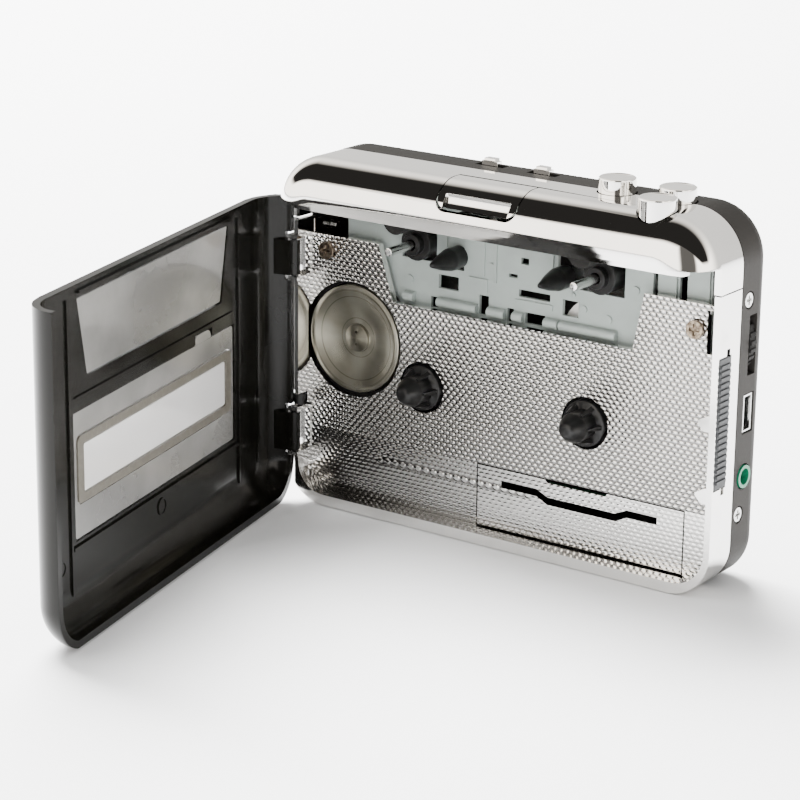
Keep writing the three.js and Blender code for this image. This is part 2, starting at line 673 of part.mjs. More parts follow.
function reelSpindle() {
  const core = turned([
    [0, -7.65], [1.3, -7.65], [1.9, -7.1], [3.1, -5.1], [3.3, -4.4], [3.3, -0.7], [5.1, -0.5],
    [5.1, 2.0], [2.0, 2.2], [2.0, 4.7], [7.3, 4.7], [7.3, 6.2], [1.2, 6.2], [1.2, 7.4], [0, 7.4],
  ], 22);
  const ribs = [];
  for (let i = 0; i < 6; i += 1) {
    const geometry = new THREE.BoxGeometry(1.7, 3.7, 1.0);
    geometry.translate(3.8, -2.5, 0);
    geometry.rotateY((i * Math.PI) / 3);
    ribs.push(solid(geometry));
  }
  return join(core, ...ribs);
}

function motorCan() {
  const can = turned([
    [0, 1.3], [3.1, 1.3], [3.1, 2.1], [5.0, 2.0], [9.6, 1.2], [11.2, 0.5], [12.0, 0.5], [MOTOR_R, 0.9],
    [MOTOR_R, 9.7], [0, 9.7],
  ], 32);
  const vents = [barY(0, 1.4, 0.35, 0.5, 1.9, 8), barY(0, -1.4, 0.35, 0.5, 1.9, 8)];
  return cut(can, ...vents);
}

function flywheel() {
  return turned([[1.15, 9.0], [FLYWHEEL_R, 9.0], [FLYWHEEL_R, 12.6], [1.15, 12.6], [1.15, 9.0]], 40);
}

// Outline that wraps a set of circles like a stretched belt, listed in order around the loop.
function beltOutline(circles, extra) {
  const points = [];
  circles.forEach((circle, i) => {
    const before = circles[(i + circles.length - 1) % circles.length];
    const after = circles[(i + 1) % circles.length];
    const from = tangentAngle(before, circle);
    let to = tangentAngle(circle, after);
    while (to < from) {
      to += Math.PI * 2;
    }
    const steps = Math.ceil(Math.max((to - from) * circle.r / 2.4, (to - from) / 0.35));
    for (let k = 0; k <= steps; k += 1) {
      const angle = from + ((to - from) * k) / steps;
      const r = circle.r + extra;
      points.push([circle.x + r * Math.cos(angle), circle.z + r * Math.sin(angle)]);
    }
  });
  return polygon(points);
}

// Direction of the outer common tangent's contact point, going anticlockwise round the loop.
function tangentAngle(a, b) {
  const heading = Math.atan2(b.z - a.z, b.x - a.x);
  const lean = Math.asin((a.r - b.r) / Math.hypot(b.x - a.x, b.z - a.z));
  return heading - Math.PI / 2 + lean;
}

function driveBelt() {
  const loop = [
    { x: MOTOR_X, z: MOTOR_Z, r: PULLEY_R },
    { x: CAPSTAN_X, z: CAPSTAN_Z, r: FLYWHEEL_R },
    { x: -CAPSTAN_X, z: CAPSTAN_Z, r: FLYWHEEL_R },
  ];
  const outer = plate(beltOutline(loop, 1.2), BELT_Y0, BELT_Y1);
  return cut(outer, plate(beltOutline(loop, GAP + 0.1), BELT_Y0 - 1, BELT_Y1 + 1));
}

function buildMechanism() {
  addPiece('mechanism_plate', mechanismPlate(), ZINC);
  const carriage = join(
    box(-17, 17, 1.2, 2.4, HUB_Z + 37.0, HUB_Z + 44.5),
    box(-19, -15, 1.2, 2.4, HUB_Z + 38.5, HUB_Z + 41),
    box(15, 19, 1.2, 2.4, HUB_Z + 38.5, HUB_Z + 41),
  );
  addPiece('head_carriage', carriage, ZINC);
  const head = cut(
    box(-6.4, 6.4, -8.4, 0.9, HUB_Z + 38.4, HUB_Z + 43.4),
    box(-2.6, 2.6, -9, -7.4, HUB_Z + 38, HUB_Z + 39.2),
  );
  addPiece('tape_head', head, STEEL);

  for (const side of [-1, 1]) {
    const which = side < 0 ? 'left' : 'right';
    const x = side * CAPSTAN_X;
    addPiece(`capstan_${which}`, barY(0, 0, 1.0, -10, 13.4, 16), STEEL).position.set(x, 0, CAPSTAN_Z);
    const bush = cut(
      join(barY(0, 0, 3.9, 0.2, 7.6, 24), barY(0, 0, 2.4, -1.6, 0.4, 20)),
      barY(0, 0, 1.25, -3, 9, 16),
    );
    addPiece(`capstan_bush_${which}`, bush, BLACK_PLASTIC).position.set(x, 0, CAPSTAN_Z);
    addPiece(`flywheel_${which}`, flywheel(), STEEL).position.set(x, 0, CAPSTAN_Z);
    const guide = turned([[0, -7.9], [0.5, -7.7], [1.2, -5.5], [2.1, -2.6], [2.5, -0.8], [2.5, 2.8], [0, 2.8]], 20);
    addPiece(`cassette_guide_${which}`, guide, BLACK_PLASTIC).position.set(side * GUIDE_X, 0, GUIDE_Z);
    addPiece(`reel_spindle_${which}`, reelSpindle(), BLACK_PLASTIC).position.set(side * HUB_X, 0, HUB_Z);
    const arm = addPiece(`pinch_arm_${which}`, pinchArm(side), ZINC);
    arm.position.set(side * PINCH_PIVOT_X, 0, PINCH_PIVOT_Z);
    addPiece(`pinch_roller_${which}`, pinchRoller(), RUBBER).position.set(side * PINCH_X, 0, PINCH_Z);
  }
  const idler = cut(barY(0, 0, IDLER_R, 4.9, 6.2, 32), barY(0, 0, 1.1, 4, 7, 14));
  addPiece('idler_wheel', idler, WHITE_PLASTIC).position.set(IDLER_X, 0, IDLER_Z);

  addPiece('motor_can', motorCan(), MOTOR_BRASS).position.set(MOTOR_X, 0, MOTOR_Z);
  const seat = cut(barY(0, 0, 14.6, 1.9, 3.0, 40), barY(0, 0, MOTOR_R + 0.3, 1, 4, 40));
  const trimmed = cut(seat, box(13.0, 20, 0, 6, -10, 10), box(-20, -11.2, 0, 6, -20, 20));
  addPiece('motor_seat_ring', trimmed, RUBBER).position.set(MOTOR_X, 0, MOTOR_Z);
  const pulley = turned([[0, 10.0], [PULLEY_R, 10.0], [PULLEY_R, 12.4], [3.2, 12.6], [3.2, 13.2], [0, 13.2]], 20);
  addPiece('motor_pulley', cut(pulley, barY(0, 0, 0.6, 13, 14, 8)), BLACK_PLASTIC).position.set(MOTOR_X, 0, MOTOR_Z);
  addPiece('drive_belt', driveBelt(), RUBBER);
}

function buildElectrics() {
  const board = box(6, 51, 11.2, 12.6, HUB_Z - 12.4, HUB_Z + 12.0);
  addPiece('circuit_board', board, BOARD_GREEN);
  addPiece('usb_socket', usbSocket(), STEEL);
  addPiece('jack_socket', jackSocket(), GREEN_PLASTIC);
  for (const side of [-1, 1]) {
    const which = side < 0 ? 'left' : 'right';
    const leaf = box(-0.25, 0.25, 5.0, 13.0, 5.5, 13.5);
    const geometry = new THREE.CylinderGeometry(1.6, 3.2, 3.0, 18);
    geometry.rotateZ((side * Math.PI) / 2);
    geometry.translate(-side * 1.6, 9.0, 9.0);
    const contact = join(leaf, solid(geometry));
    addPiece(`battery_contact_${which}`, contact, SPRING_STEEL).position.set(side * 50.6, 0, 0);
  }
}

function crossHeadScrew(headR, headT, shankR, length) {
  const body = join(barX(0, 0, headR, -headT, 0, 16), barX(0, 0, shankR, -length, -headT + 0.1, 8));
  const slotDepth = headT * 0.55;
  const wide = headR * 0.62;
  const thin = headR * 0.16;
  return cut(body, box(-slotDepth, 1, -wide, wide, -thin, thin), box(-slotDepth, 1, -thin, thin, -wide, wide));
}

function buildScrews() {
  SIDE_SCREWS.forEach((screw, i) => {
    const level = i === 0 ? 'upper' : 'lower';
    const right = addPiece(`side_screw_right_${level}`, crossHeadScrew(1.6, 1.2, 0.85, 5.0), STEEL);
    right.position.set(HALF_W - 0.1, screw.y, screw.z);
    const left = addPiece(`side_screw_left_${level}`, crossHeadScrew(1.6, 1.2, 0.85, 5.0), STEEL);
    left.position.set(-HALF_W + 0.1, screw.y, screw.z);
    left.rotation.z = Math.PI;
  });
  FLOOR_SCREWS.forEach((screw, i) => {
    const name = i === 0 ? 'floor_screw_left' : 'floor_screw_right';
    const piece = addPiece(name, crossHeadScrew(2.0, 0.9, 0.95, 3.8), STEEL);
    piece.position.set(screw.x, -1.0, screw.z);
    piece.rotation.z = -Math.PI / 2;
  });
}

function buildCassetteSprings() {
  for (const [name, z] of [['cassette_spring_upper', HUB_Z + 6.0], ['cassette_spring_lower', HUB_Z - 9.6]]) {
    const shape = polygon([[-1.8, 0], [1.8, 0], [1.8, 2.2], [0.5, 4.6], [-0.2, 4.6], [-1.8, 3.2]]);
    const geometry = new THREE.ExtrudeGeometry(shape, { depth: 0.8, bevelEnabled: false });
    geometry.rotateX(Math.PI / 2);
    geometry.rotateY(-Math.PI / 2);
    const spring = addPiece(name, solid(geometry), CHROME);
    spring.position.set(RIGHT_WALL_X, -0.6, z);
  }
}

// ---------------------------------------------------------------- assembly
addPiece('top_cover', topCover(), CHROME);
addPiece('cassette_frame', cassetteFrame(), CHROME_TEXTURED);
addPiece('rear_shell', rearShell(), REAR_GREY);
addPiece('battery_cover', batteryCover(), CHROME_TEXTURED);
addPiece('latch_button', latchButton(), CHROME);
addPiece('latch_spring', coil(0, -4.6, 1.6, 0.3, HUB_Z + 44.2, HUB_Z + 47.6, 3.5), SPRING_STEEL);
addPiece('grip_strip', gripStrip(), RIBBED_GREY).position.set(54.8, GRIP.y, GRIP.z);
addPiece('volume_wheel', volumeWheel(), BLACK_PLASTIC).position.set(WHEEL.x, WHEEL.y, WHEEL.z);
buildDoor();
buildHinges();
buildKeys();
buildSwitches();
buildMechanism();
buildElectrics();
buildCassetteSprings();
buildScrews();

export default player;
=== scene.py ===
"""A pocket cassette player with its door swung open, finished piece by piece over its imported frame."""
import json
import math

import bmesh
import bpy
from bpy.props import FloatProperty, FloatVectorProperty, IntProperty
from mathutils import Matrix, Vector

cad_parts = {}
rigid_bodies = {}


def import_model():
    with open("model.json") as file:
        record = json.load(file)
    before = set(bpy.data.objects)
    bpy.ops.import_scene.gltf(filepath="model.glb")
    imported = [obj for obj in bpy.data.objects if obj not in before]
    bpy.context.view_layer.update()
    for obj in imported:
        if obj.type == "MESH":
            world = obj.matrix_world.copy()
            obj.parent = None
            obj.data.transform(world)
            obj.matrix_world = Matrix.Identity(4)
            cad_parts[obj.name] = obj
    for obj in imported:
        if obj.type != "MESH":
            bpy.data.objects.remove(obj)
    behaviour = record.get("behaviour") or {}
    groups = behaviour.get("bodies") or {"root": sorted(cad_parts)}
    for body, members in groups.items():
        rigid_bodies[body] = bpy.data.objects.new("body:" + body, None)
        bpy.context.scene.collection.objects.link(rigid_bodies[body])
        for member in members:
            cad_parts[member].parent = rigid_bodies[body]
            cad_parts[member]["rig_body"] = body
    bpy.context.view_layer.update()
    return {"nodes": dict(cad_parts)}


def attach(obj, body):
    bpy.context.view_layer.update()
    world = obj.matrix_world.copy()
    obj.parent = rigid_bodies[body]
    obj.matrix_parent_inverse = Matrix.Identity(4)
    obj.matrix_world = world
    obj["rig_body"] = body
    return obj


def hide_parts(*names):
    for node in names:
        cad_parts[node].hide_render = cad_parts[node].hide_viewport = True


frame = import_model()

bl_info = {
    "name": "Cassette Player",
    "version": (1, 0, 0),
    "blender": (4, 5, 0),
    "location": "View3D > Sidebar > Cassette Player",
    "description": "Builds a pocket cassette player with its door open",
    "category": "Add Mesh",
}

MM = 0.001

# Places of the main parts, in millimetres: X along the body, Y from the door to the back, Z up.
HALF_W, HEIGHT = 55.3, 81.2
FRONT_Y, PART_Y, SEAM_Y, BACK_Y = -12.8, -4.7, 4.0, 16.0
CORNER_LOW, CORNER_TOP = 10.0, 11.5
ROLL, ROLL_DEPTH, BACK_ROLL = 9.0, 8.1, 5.0
SKIN = 1.6
HUB_X, HUB_Z = 21.25, 31.2
BATTERY_LEFT = -6.1
COVER_SPLIT_Z, BAND_Z, LIP_Z = HUB_Z + 34.4, HUB_Z + 40.0, HUB_Z + 38.5
DOOR_LOW_Z, DOOR_TOP_Z = 0.4, HUB_Z + 39.3
HINGE = (-53.7, -4.3)
HINGE_ZONES = ((HUB_Z - 19.5, HUB_Z - 10.5), (HUB_Z + 21.6, HUB_Z + 29.6))
KEYS = (
    ("play_key", 25.0, 3.8, HUB_Z + 53.3),
    ("forward_key", 39.0, 4.6, HUB_Z + 53.1),
    ("stop_key", 40.2, -5.4, HUB_Z + 52.8),
)
KEY_R = 4.0
SWITCHES = (("mode_switch", -10.2, 9.4), ("tape_type_switch", 3.4, 9.0))
SIDE_SCREWS = ((7.3, HUB_Z + 31.1), (6.9, HUB_Z - 15.1))
WHEEL = (47.6, 9.3, HUB_Z + 21.3, 8.2)
USB = (8.9, HUB_Z + 6.7)
JACK = (8.3, HUB_Z - 7.0)
MOTOR = (-40.4, HUB_Z + 7.7, 12.4)


# ---------------------------------------------------------------- sizes and colours
class PlayerSizes(bpy.types.PropertyGroup):
    pebble_long: FloatProperty(
        name="Pebble Pitch", description="Spacing of the floor's pebbles along a row, in mm", default=1.6, min=0.5)
    pebble_high: FloatProperty(
        name="Row Pitch", description="Spacing of the pebble rows, in mm", default=0.94, min=0.3)
    pebble_rise: FloatProperty(
        name="Pebble Height", description="How far the pebbles stand out, in mm", default=0.15, min=0.0)
    edge_round: FloatProperty(
        name="Edge Rounding", description="Rounding of moulded edges", default=0.22 * MM, unit="LENGTH")
    corner_steps: IntProperty(
        name="Corner Steps", description="Segments round the outline's corners", default=18, min=4)
    roll_steps: IntProperty(
        name="Roll Steps", description="Segments across the rolled edges", default=14, min=4)


class PlayerColours(bpy.types.PropertyGroup):
    chrome: FloatVectorProperty(
        name="Chrome", description="Tint of the plated covers", subtype="COLOR", default=(0.80, 0.79, 0.77))
    shell: FloatVectorProperty(
        name="Rear Shell", description="Matt rear moulding", subtype="COLOR", default=(0.024, 0.022, 0.020))
    door: FloatVectorProperty(
        name="Door", description="Black door moulding", subtype="COLOR", default=(0.004, 0.0038, 0.003))
    plate: FloatVectorProperty(
        name="Mechanism Plate", description="Painted steel plate", subtype="COLOR", default=(0.33, 0.37, 0.35))
    lens: FloatVectorProperty(
        name="Lens", description="Smoked door lenses", subtype="COLOR", default=(0.30, 0.295, 0.285))
    green: FloatVectorProperty(
        name="Socket Green", description="Headphone socket", subtype="COLOR", default=(0.01, 0.17, 0.085))
    floor: FloatVectorProperty(
        name="Floor", description="Pale studio floor", subtype="COLOR", default=(0.86, 0.86, 0.86))


# ---------------------------------------------------------------- shader arithmetic
class Field:
    """A value that varies over a surface; arithmetic on it adds Math nodes."""

    def __init__(self, surface, socket):
        self.surface, self.socket = surface, socket

    def _maths(self, operation, first, second=0.0, third=0.0):
        return self.surface.node("ShaderNodeMath", {"operation": operation}, {0: first, 1: second, 2: third})

    def __add__(self, other):
        return self._maths("ADD", self, other)

    def __radd__(self, other):
        return self._maths("ADD", other, self)

    def __sub__(self, other):
        return self._maths("SUBTRACT", self, other)

    def __rsub__(self, other):
        return self._maths("SUBTRACT", other, self)

    def __mul__(self, other):
        return self._maths("MULTIPLY", self, other)

    def __rmul__(self, other):
        return self._maths("MULTIPLY", other, self)

    def __truediv__(self, other):
        return self._maths("DIVIDE", self, other)

    def __rtruediv__(self, other):
        return self._maths("DIVIDE", other, self)

    def __pow__(self, other):
        return self._maths("POWER", self, other)

    def __abs__(self):
        return self._maths("ABSOLUTE", self)

    def floor(self):
        return self._maths("FLOOR", self)

    def fraction(self):
        return self._maths("FRACT", self)

    def root(self):
        return self._maths("SQRT", self)

    def sine(self):
        return self._maths("SINE", self)

    def above(self, level):
        return self._maths("GREATER_THAN", self, level)

    def below(self, level):
        return self._maths("LESS_THAN", self, level)

    def least(self, other):
        return self._maths("MINIMUM", self, other)

    def most(self, other):
        return self._maths("MAXIMUM", self, other)

    def ease(self, low, high):
        """0 below low, 1 above high, smooth between."""
        return self.surface.node(
            "ShaderNodeMapRange", {"interpolation_type": "SMOOTHSTEP"}, {0: self, 1: low, 2: high, 3: 0.0, 4: 1.0})


class Graph:
    """A node tree being filled in."""

    def __init__(self, tree):
        self.tree = tree

    def feed(self, socket, value):
        if isinstance(value, Field):
            self.tree.links.new(value.socket, socket)
        elif hasattr(socket.default_value, "__len__") and len(socket.default_value) == 4 and len(value) == 3:
            socket.default_value = (*value, 1.0)
        else:
            socket.default_value = value

    def node(self, kind, settings=None, inputs=None, output=0):
        made = self.tree.nodes.new(kind)
        for key, value in (settings or {}).items():
            if key == "stops":
                for i, (place, colour) in enumerate(value):
                    stop = made.color_ramp.elements[i] if i < 2 else made.color_ramp.elements.new(place)
                    stop.position, stop.color = place, (*colour, 1.0)
            else:
                setattr(made, key, value)
        for key, value in (inputs or {}).items():
            self.feed(made.inputs[key], value)
        return Field(self, made.outputs[output])

    def mix(self, amount, first, second):
        return self.node(
            "ShaderNodeMix", {"data_type": "RGBA"}, {0: amount, 6: first, 7: second}, output=2)

class Surface(Graph):
    """One material being made."""

    def __init__(self, name, colour, roughness, metallic=0.0, **fixed):
        self.material = bpy.data.materials.new(name)
        self.material.use_nodes = True
        super().__init__(self.material.node_tree)
        self.shader = self.tree.nodes["Principled BSDF"]
        self.shader.inputs["Base Color"].default_value = (*colour, 1.0)
        self.shader.inputs["Roughness"].default_value = roughness
        self.shader.inputs["Metallic"].default_value = metallic
        for name_, value in fixed.items():
            self.shader.inputs[name_.replace("_", " ")].default_value = value

    def place(self):
        """Object coordinates as a vector."""
        return self.node("ShaderNodeTexCoord", output="Object")

    def xyz(self):
        """Object coordinates in millimetres, one field each."""
        split = self.tree.nodes.new("ShaderNodeSeparateXYZ")
        self.feed(split.inputs[0], self.place())
        return [Field(self, split.outputs[i]) * (1 / MM) for i in range(3)]

    def facing(self, axis):
        """How far the true surface faces along an axis."""
        split = self.tree.nodes.new("ShaderNodeSeparateXYZ")
        self.feed(split.inputs[0], self.node("ShaderNodeNewGeometry", output="True Normal"))
        return Field(self, split.outputs[axis])

    def noise(self, scale, detail=3.0, stretch=(1, 1, 1), roughness=0.5):
        """Noise whose scale counts blotches per metre."""
        mapped = self.node("ShaderNodeMapping", {}, {"Vector": self.place(), "Scale": stretch})
        return self.node(
            "ShaderNodeTexNoise", {}, {"Vector": mapped, "Scale": scale, "Detail": detail, "Roughness": roughness})

    def paint(self, **channels):
        for name, value in channels.items():
            self.feed(self.shader.inputs[name.replace("_", " ")], value)
        return self

    def bump(self, height, depth_mm, strength=1.0):
        bumped = self.node("ShaderNodeBump", {}, {
            "Strength": strength, "Distance": depth_mm * MM, "Height": height})
        self.feed(self.shader.inputs["Normal"], bumped)
        return self


FINISHES = {}


def finish(name):
    """The named finish, made once."""
    if name not in FINISHES:
        FINISHES[name] = MAKERS[name]().material
    return FINISHES[name]


def colours():
    return bpy.context.scene.player_colours


def sizes():
    return bpy.context.scene.player_sizes


def mirror_chrome():
    """Plated plastic: a mirror with faint smudges and a very slight waviness."""
    tint = tuple(colours().chrome)
    made = Surface("Mirror Chrome", tint, 0.05, 1.0)
    smudge = made.noise(90, 5)
    scuffs = made.noise(900, 2, (1, 1, 6)).ease(0.62, 0.8)
    made.paint(
        Base_Color=made.mix(smudge.ease(0.3, 0.8), tint, tuple(c * 0.94 for c in tint)),
        Roughness=0.035 + smudge.ease(0.35, 0.85) * 0.05 + scuffs * 0.04,
    )
    return made.bump(made.noise(45, 1), 0.05)


def pebbled_chrome():
    """Plated floor with staggered rows of small oval pebbles, plain on its walls, with one chain of large ovals, and
    painted shade darkening the grooves between them.
    """
    tint = tuple(c * 0.97 for c in colours().chrome)
    made = Surface("Pebbled Chrome", tint, 0.12, 1.0)
    x, y, z = made.xyz()
    row = (z / sizes().pebble_high).floor()
    across = (x / sizes().pebble_long + row * 0.5).fraction() - 0.5
    along = (z / sizes().pebble_high).fraction() - 0.5
    reach = ((across * 2.0) ** 2.0 + (abs(along) * 2.0) ** 2.0).root()
    dome = 1.0 - reach.ease(0.25, 1.08)
    chain_rise = abs(z - (HUB_Z - 19.0)) / 0.75
    chain_reach = ((((x / 2.1).fraction() - 0.5) * 2.1) ** 2.0 + chain_rise ** 2.0).root()
    in_chain = chain_rise.below(1.15) * x.above(-33.0) * x.below(8.0)
    link = 1.0 - chain_reach.ease(0.45, 1.1)
    uneven = made.noise(700, 2)
    on_floor = made.facing(1).below(-0.9) * y.above(-0.6) * y.below(0.4) * abs(x).below(53.6)
    lower_plain = z.below(HUB_Z - 14.3)
    faint = 1.0 - lower_plain * (0.45 + x.above(BATTERY_LEFT) * 0.2)
    pebbled = on_floor * faint * (1.0 - in_chain)
    relief = dome * pebbled + link * in_chain * on_floor
    grime = made.noise(160, 4)
    # Painted shade: the grooves between pebbles and chain links are darkened towards near-black in the base colour;
    # the grime noise adds real dirt.
    painted_groove_shade = (1.0 - dome) * pebbled + (1.0 - link) * in_chain * on_floor
    made.paint(
        Base_Color=made.mix(painted_groove_shade * 0.78 + grime.ease(0.5, 0.9) * 0.15, tint, (0.10, 0.097, 0.09)),
        Roughness=0.10 + pebbled * 0.05 + grime.ease(0.3, 0.8) * 0.05,
    )
    return made.bump(relief + uneven * 0.10 * on_floor, sizes().pebble_rise)


def rear_shell_plastic():
    """Matt moulding with a fine spark-eroded grain."""
    tint = tuple(colours().shell)
    made = Surface("Matt Rear Moulding", tint, 0.45, Specular_IOR_Level=0.08)
    grain = made.noise(3500, 2)
    worn = made.noise(60, 4)
    made.paint(
        Base_Color=made.mix(worn.ease(0.35, 0.75), tint, tuple(c * 1.18 for c in tint)),
        Roughness=0.42 + grain * 0.12 + worn * 0.06,
    )
    return made.bump(grain, 0.03, 0.6)


def door_plastic():
    """Black moulding, satin inside and polished outside, with faint flow marks."""
    tint = tuple(colours().door)
    made = Surface("Black Door Moulding", tint, 0.16, Specular_IOR_Level=0.14)
    cloud = made.noise(70, 4)
    flow = made.noise(420, 3, (0.2, 1, 1.6))
    made.paint(
        Base_Color=made.mix(cloud.ease(0.35, 0.8), tint, tuple(c * 1.5 for c in tint)),
        Roughness=0.12 + flow.ease(0.3, 0.8) * 0.05 + cloud * 0.05,
    )
    return made.bump(flow, 0.008, 0.3)


def smoked_lens():
    """Smoked lens with a faint silvering that clouds towards its edges."""
    tint = tuple(colours().lens)
    made = Surface("Smoked Lens", tint, 0.16, 0.55, Coat_Roughness=0.06)
    haze = made.noise(38, 5)
    streaks_and_sheen = made.noise(55, 3, (1, 1, 0.3))
    made.paint(
        Base_Color=made.mix(haze.ease(0.3, 0.75), tuple(c * 0.72 for c in tint), tuple(c * 1.25 for c in tint)),
        Roughness=0.14 + streaks_and_sheen * 0.16,
        Coat_Weight=0.5 + haze * 0.3,
    )
    return made.bump(streaks_and_sheen, 0.02, 0.4)


def label_frame():
    """Satin olive-grey frame round the label window."""
    tint = (0.115, 0.105, 0.085)
    made = Surface("Olive Frame", tint, 0.4)
    fleck = made.noise(900, 3)
    made.paint(
        Base_Color=made.mix(fleck.ease(0.4, 0.8), tint, (0.15, 0.14, 0.115)),
        Roughness=0.34 + fleck * 0.14,
    )
    return made.bump(fleck, 0.015, 0.5)


def clear_window():
    """Clear window, made opaque here, with its base colour painted pale to stand for the bright surroundings seen
    through it.
    """
    # Painted light: the near-white base colour stands for the bright backdrop seen through the window.
    made = Surface("Clear Window", (0.94, 0.93, 0.92), 0.09, 0.35, Coat_Roughness=0.03)
    haze = made.noise(50, 4)
    made.paint(
        Base_Color=made.mix(haze.ease(0.3, 0.8), (0.90, 0.89, 0.88), (0.97, 0.965, 0.955)),
        Roughness=0.07 + haze * 0.08,
        Coat_Weight=0.8 + haze * 0.2,
    )
    return made.bump(made.noise(30, 2), 0.03, 0.4)


def bright_steel():
    """Turned steel with fine rings of tool marks."""
    made = Surface("Bright Steel", (0.63, 0.63, 0.62), 0.22, 1.0)
    marks = made.noise(2600, 2, (1, 5, 1))
    made.paint(
        Base_Color=made.mix(marks.ease(0.3, 0.8), (0.66, 0.66, 0.65), (0.5, 0.5, 0.49)),
        Roughness=0.14 + marks * 0.16,
    )
    return made.bump(marks, 0.01, 0.6)


def bronzed_steel():
    """Dark bronzed screws of the cassette floor."""
    made = Surface("Bronzed Steel", (0.16, 0.12, 0.085), 0.3, 1.0)
    wear = made.noise(1500, 3)
    made.paint(
        Base_Color=made.mix(wear.ease(0.35, 0.75), (0.10, 0.075, 0.055), (0.34, 0.28, 0.21)),
        Roughness=0.22 + wear * 0.2,
    )
    return made.bump(wear, 0.02, 0.6)


def plate_paint():
    """Grey-green passivated steel with faint blotches and rolled edges."""
    tint = tuple(colours().plate)
    made = Surface("Passivated Plate", tint, 0.42, 0.15)
    blotch = made.noise(130, 4)
    grain = made.noise(1500, 2, (0.3, 1, 1))
    made.paint(
        Base_Color=made.mix(blotch.ease(0.35, 0.8), tint, tuple(c * 0.86 for c in tint)),
        Roughness=0.36 + grain * 0.14,
    )
    return made.bump(grain, 0.015, 0.5)


def motor_metal():
    """Spun motor end: fine rings, painted sheen in four soft lobes round the centre, and a brassy stain."""
    made = Surface("Spun Motor End", (0.44, 0.41, 0.34), 0.3, 0.9)
    x, _, z = made.xyz()
    dx, dz = x - MOTOR[0], z - MOTOR[1]
    away = (dx * dx + dz * dz).root()
    rings = (away * 34.0).sine() * 0.5 + 0.5
    rim = away.above(11.0) * away.below(11.45) + away.above(9.5) * away.below(9.75)
    boss = away.below(3.3) + away.above(4.4) * away.below(4.65)
    # Painted sheen: the base colour darkens in four lobes set by the angle round the centre, as the spun metal's
    # reflection would.
    streaks_and_sheen = abs(dx * dz / (away * away + 0.01)).ease(0.1, 0.5)
    stain = made.noise(120, 4)
    shade = (stain.ease(0.3, 0.8) * 0.5 + streaks_and_sheen * 0.4 + rim * 0.5 + boss * 0.45).least(1.0)
    made.paint(
        Base_Color=made.mix(shade, (0.36, 0.345, 0.285), (0.15, 0.14, 0.11)),
        Roughness=0.24 + rings * 0.08 + stain * 0.08,
    )
    return made.bump(rings, 0.006, 0.5)


def black_plastic():
    """Smooth black moulding with faint sink and wipe marks."""
    made = Surface("Black Moulding", (0.008, 0.008, 0.008), 0.28, Specular_IOR_Level=0.22)
    wipe = made.noise(500, 3)
    made.paint(
        Base_Color=made.mix(wipe.ease(0.4, 0.8), (0.006, 0.006, 0.006), (0.013, 0.0125, 0.012)),
        Roughness=0.24 + wipe * 0.16,
    )
    return made.bump(wipe, 0.02, 0.5)


def rubber():
    """Dull black rubber with a dusty bloom."""
    made = Surface("Black Rubber", (0.01, 0.0095, 0.009), 0.75, Specular_IOR_Level=0.2)
    bloom = made.noise(800, 4)
    made.paint(
        Base_Color=made.mix(bloom.ease(0.45, 0.8), (0.009, 0.0085, 0.008), (0.025, 0.024, 0.0225)),
        Roughness=0.68 + bloom * 0.2,
    )
    return made.bump(bloom, 0.03, 0.6)


def grip_plastic():
    """Mid-grey satin plastic for the ribbed grip."""
    made = Surface("Ribbed Grip", (0.045, 0.047, 0.05), 0.5, Specular_IOR_Level=0.3)
    fleck = made.noise(1400, 3)
    made.paint(
        Base_Color=made.mix(fleck.ease(0.4, 0.8), (0.04, 0.042, 0.045), (0.07, 0.073, 0.076)),
        Roughness=0.42 + fleck * 0.2,
    )
    return made.bump(fleck, 0.02, 0.5)


def socket_green():
    """Green moulding of the headphone socket."""
    tint = tuple(colours().green)
    made = Surface("Socket Green", tint, 0.3)
    fleck = made.noise(1200, 3)
    made.paint(
        Base_Color=made.mix(fleck.ease(0.4, 0.8), tint, tuple(c * 1.35 for c in tint)),
        Roughness=0.25 + fleck * 0.15,
    )
    return made.bump(fleck, 0.01, 0.5)


def board_lacquer():
    """Green lacquered board with a faint weave."""
    made = Surface("Board Lacquer", (0.02, 0.11, 0.05), 0.35)
    x, _, z = made.xyz()
    weave = (x * 9.0).sine() * (z * 9.0).sine() * 0.5 + 0.5
    made.paint(
        Base_Color=made.mix(weave, (0.018, 0.10, 0.045), (0.028, 0.14, 0.065)),
        Roughness=0.3 + weave * 0.1,
    )
    return made.bump(weave, 0.01, 0.4)


def white_plastic():
    """Off-white acetal of the idler wheel."""
    made = Surface("White Acetal", (0.72, 0.70, 0.66), 0.4)
    cloud = made.noise(300, 3)
    made.paint(
        Base_Color=made.mix(cloud.ease(0.3, 0.8), (0.74, 0.72, 0.68), (0.64, 0.62, 0.57)),
        Roughness=0.34 + cloud * 0.14,
    )
    return made.bump(cloud, 0.01, 0.4)


MAKERS = {
    "mirror": mirror_chrome,
    "pebbled": pebbled_chrome,
    "shell": rear_shell_plastic,
    "door": door_plastic,
    "lens": smoked_lens,
    "olive": label_frame,
    "clear": clear_window,
    "steel": bright_steel,
    "bronze": bronzed_steel,
    "plate": plate_paint,
    "motor": motor_metal,
    "black": black_plastic,
    "rubber": rubber,
    "grip": grip_plastic,
    "green": socket_green,
    "board": board_lacquer,
    "white": white_plastic,
}


# ---------------------------------------------------------------- modelling helpers
def take_up(obj):
    """Makes obj the only selected and active object."""
    if bpy.context.mode != "OBJECT":
        bpy.ops.object.mode_set(mode="OBJECT")
    bpy.ops.object.select_all(action="DESELECT")
    obj.select_set(True)
    bpy.context.view_layer.objects.active = obj
    return obj


def put_down(name):
    """Names the active object and bakes its place into its mesh."""
    obj = bpy.context.object
    obj.name = obj.data.name = name
    bpy.ops.object.transform_apply(location=True, rotation=True, scale=True)
    return obj


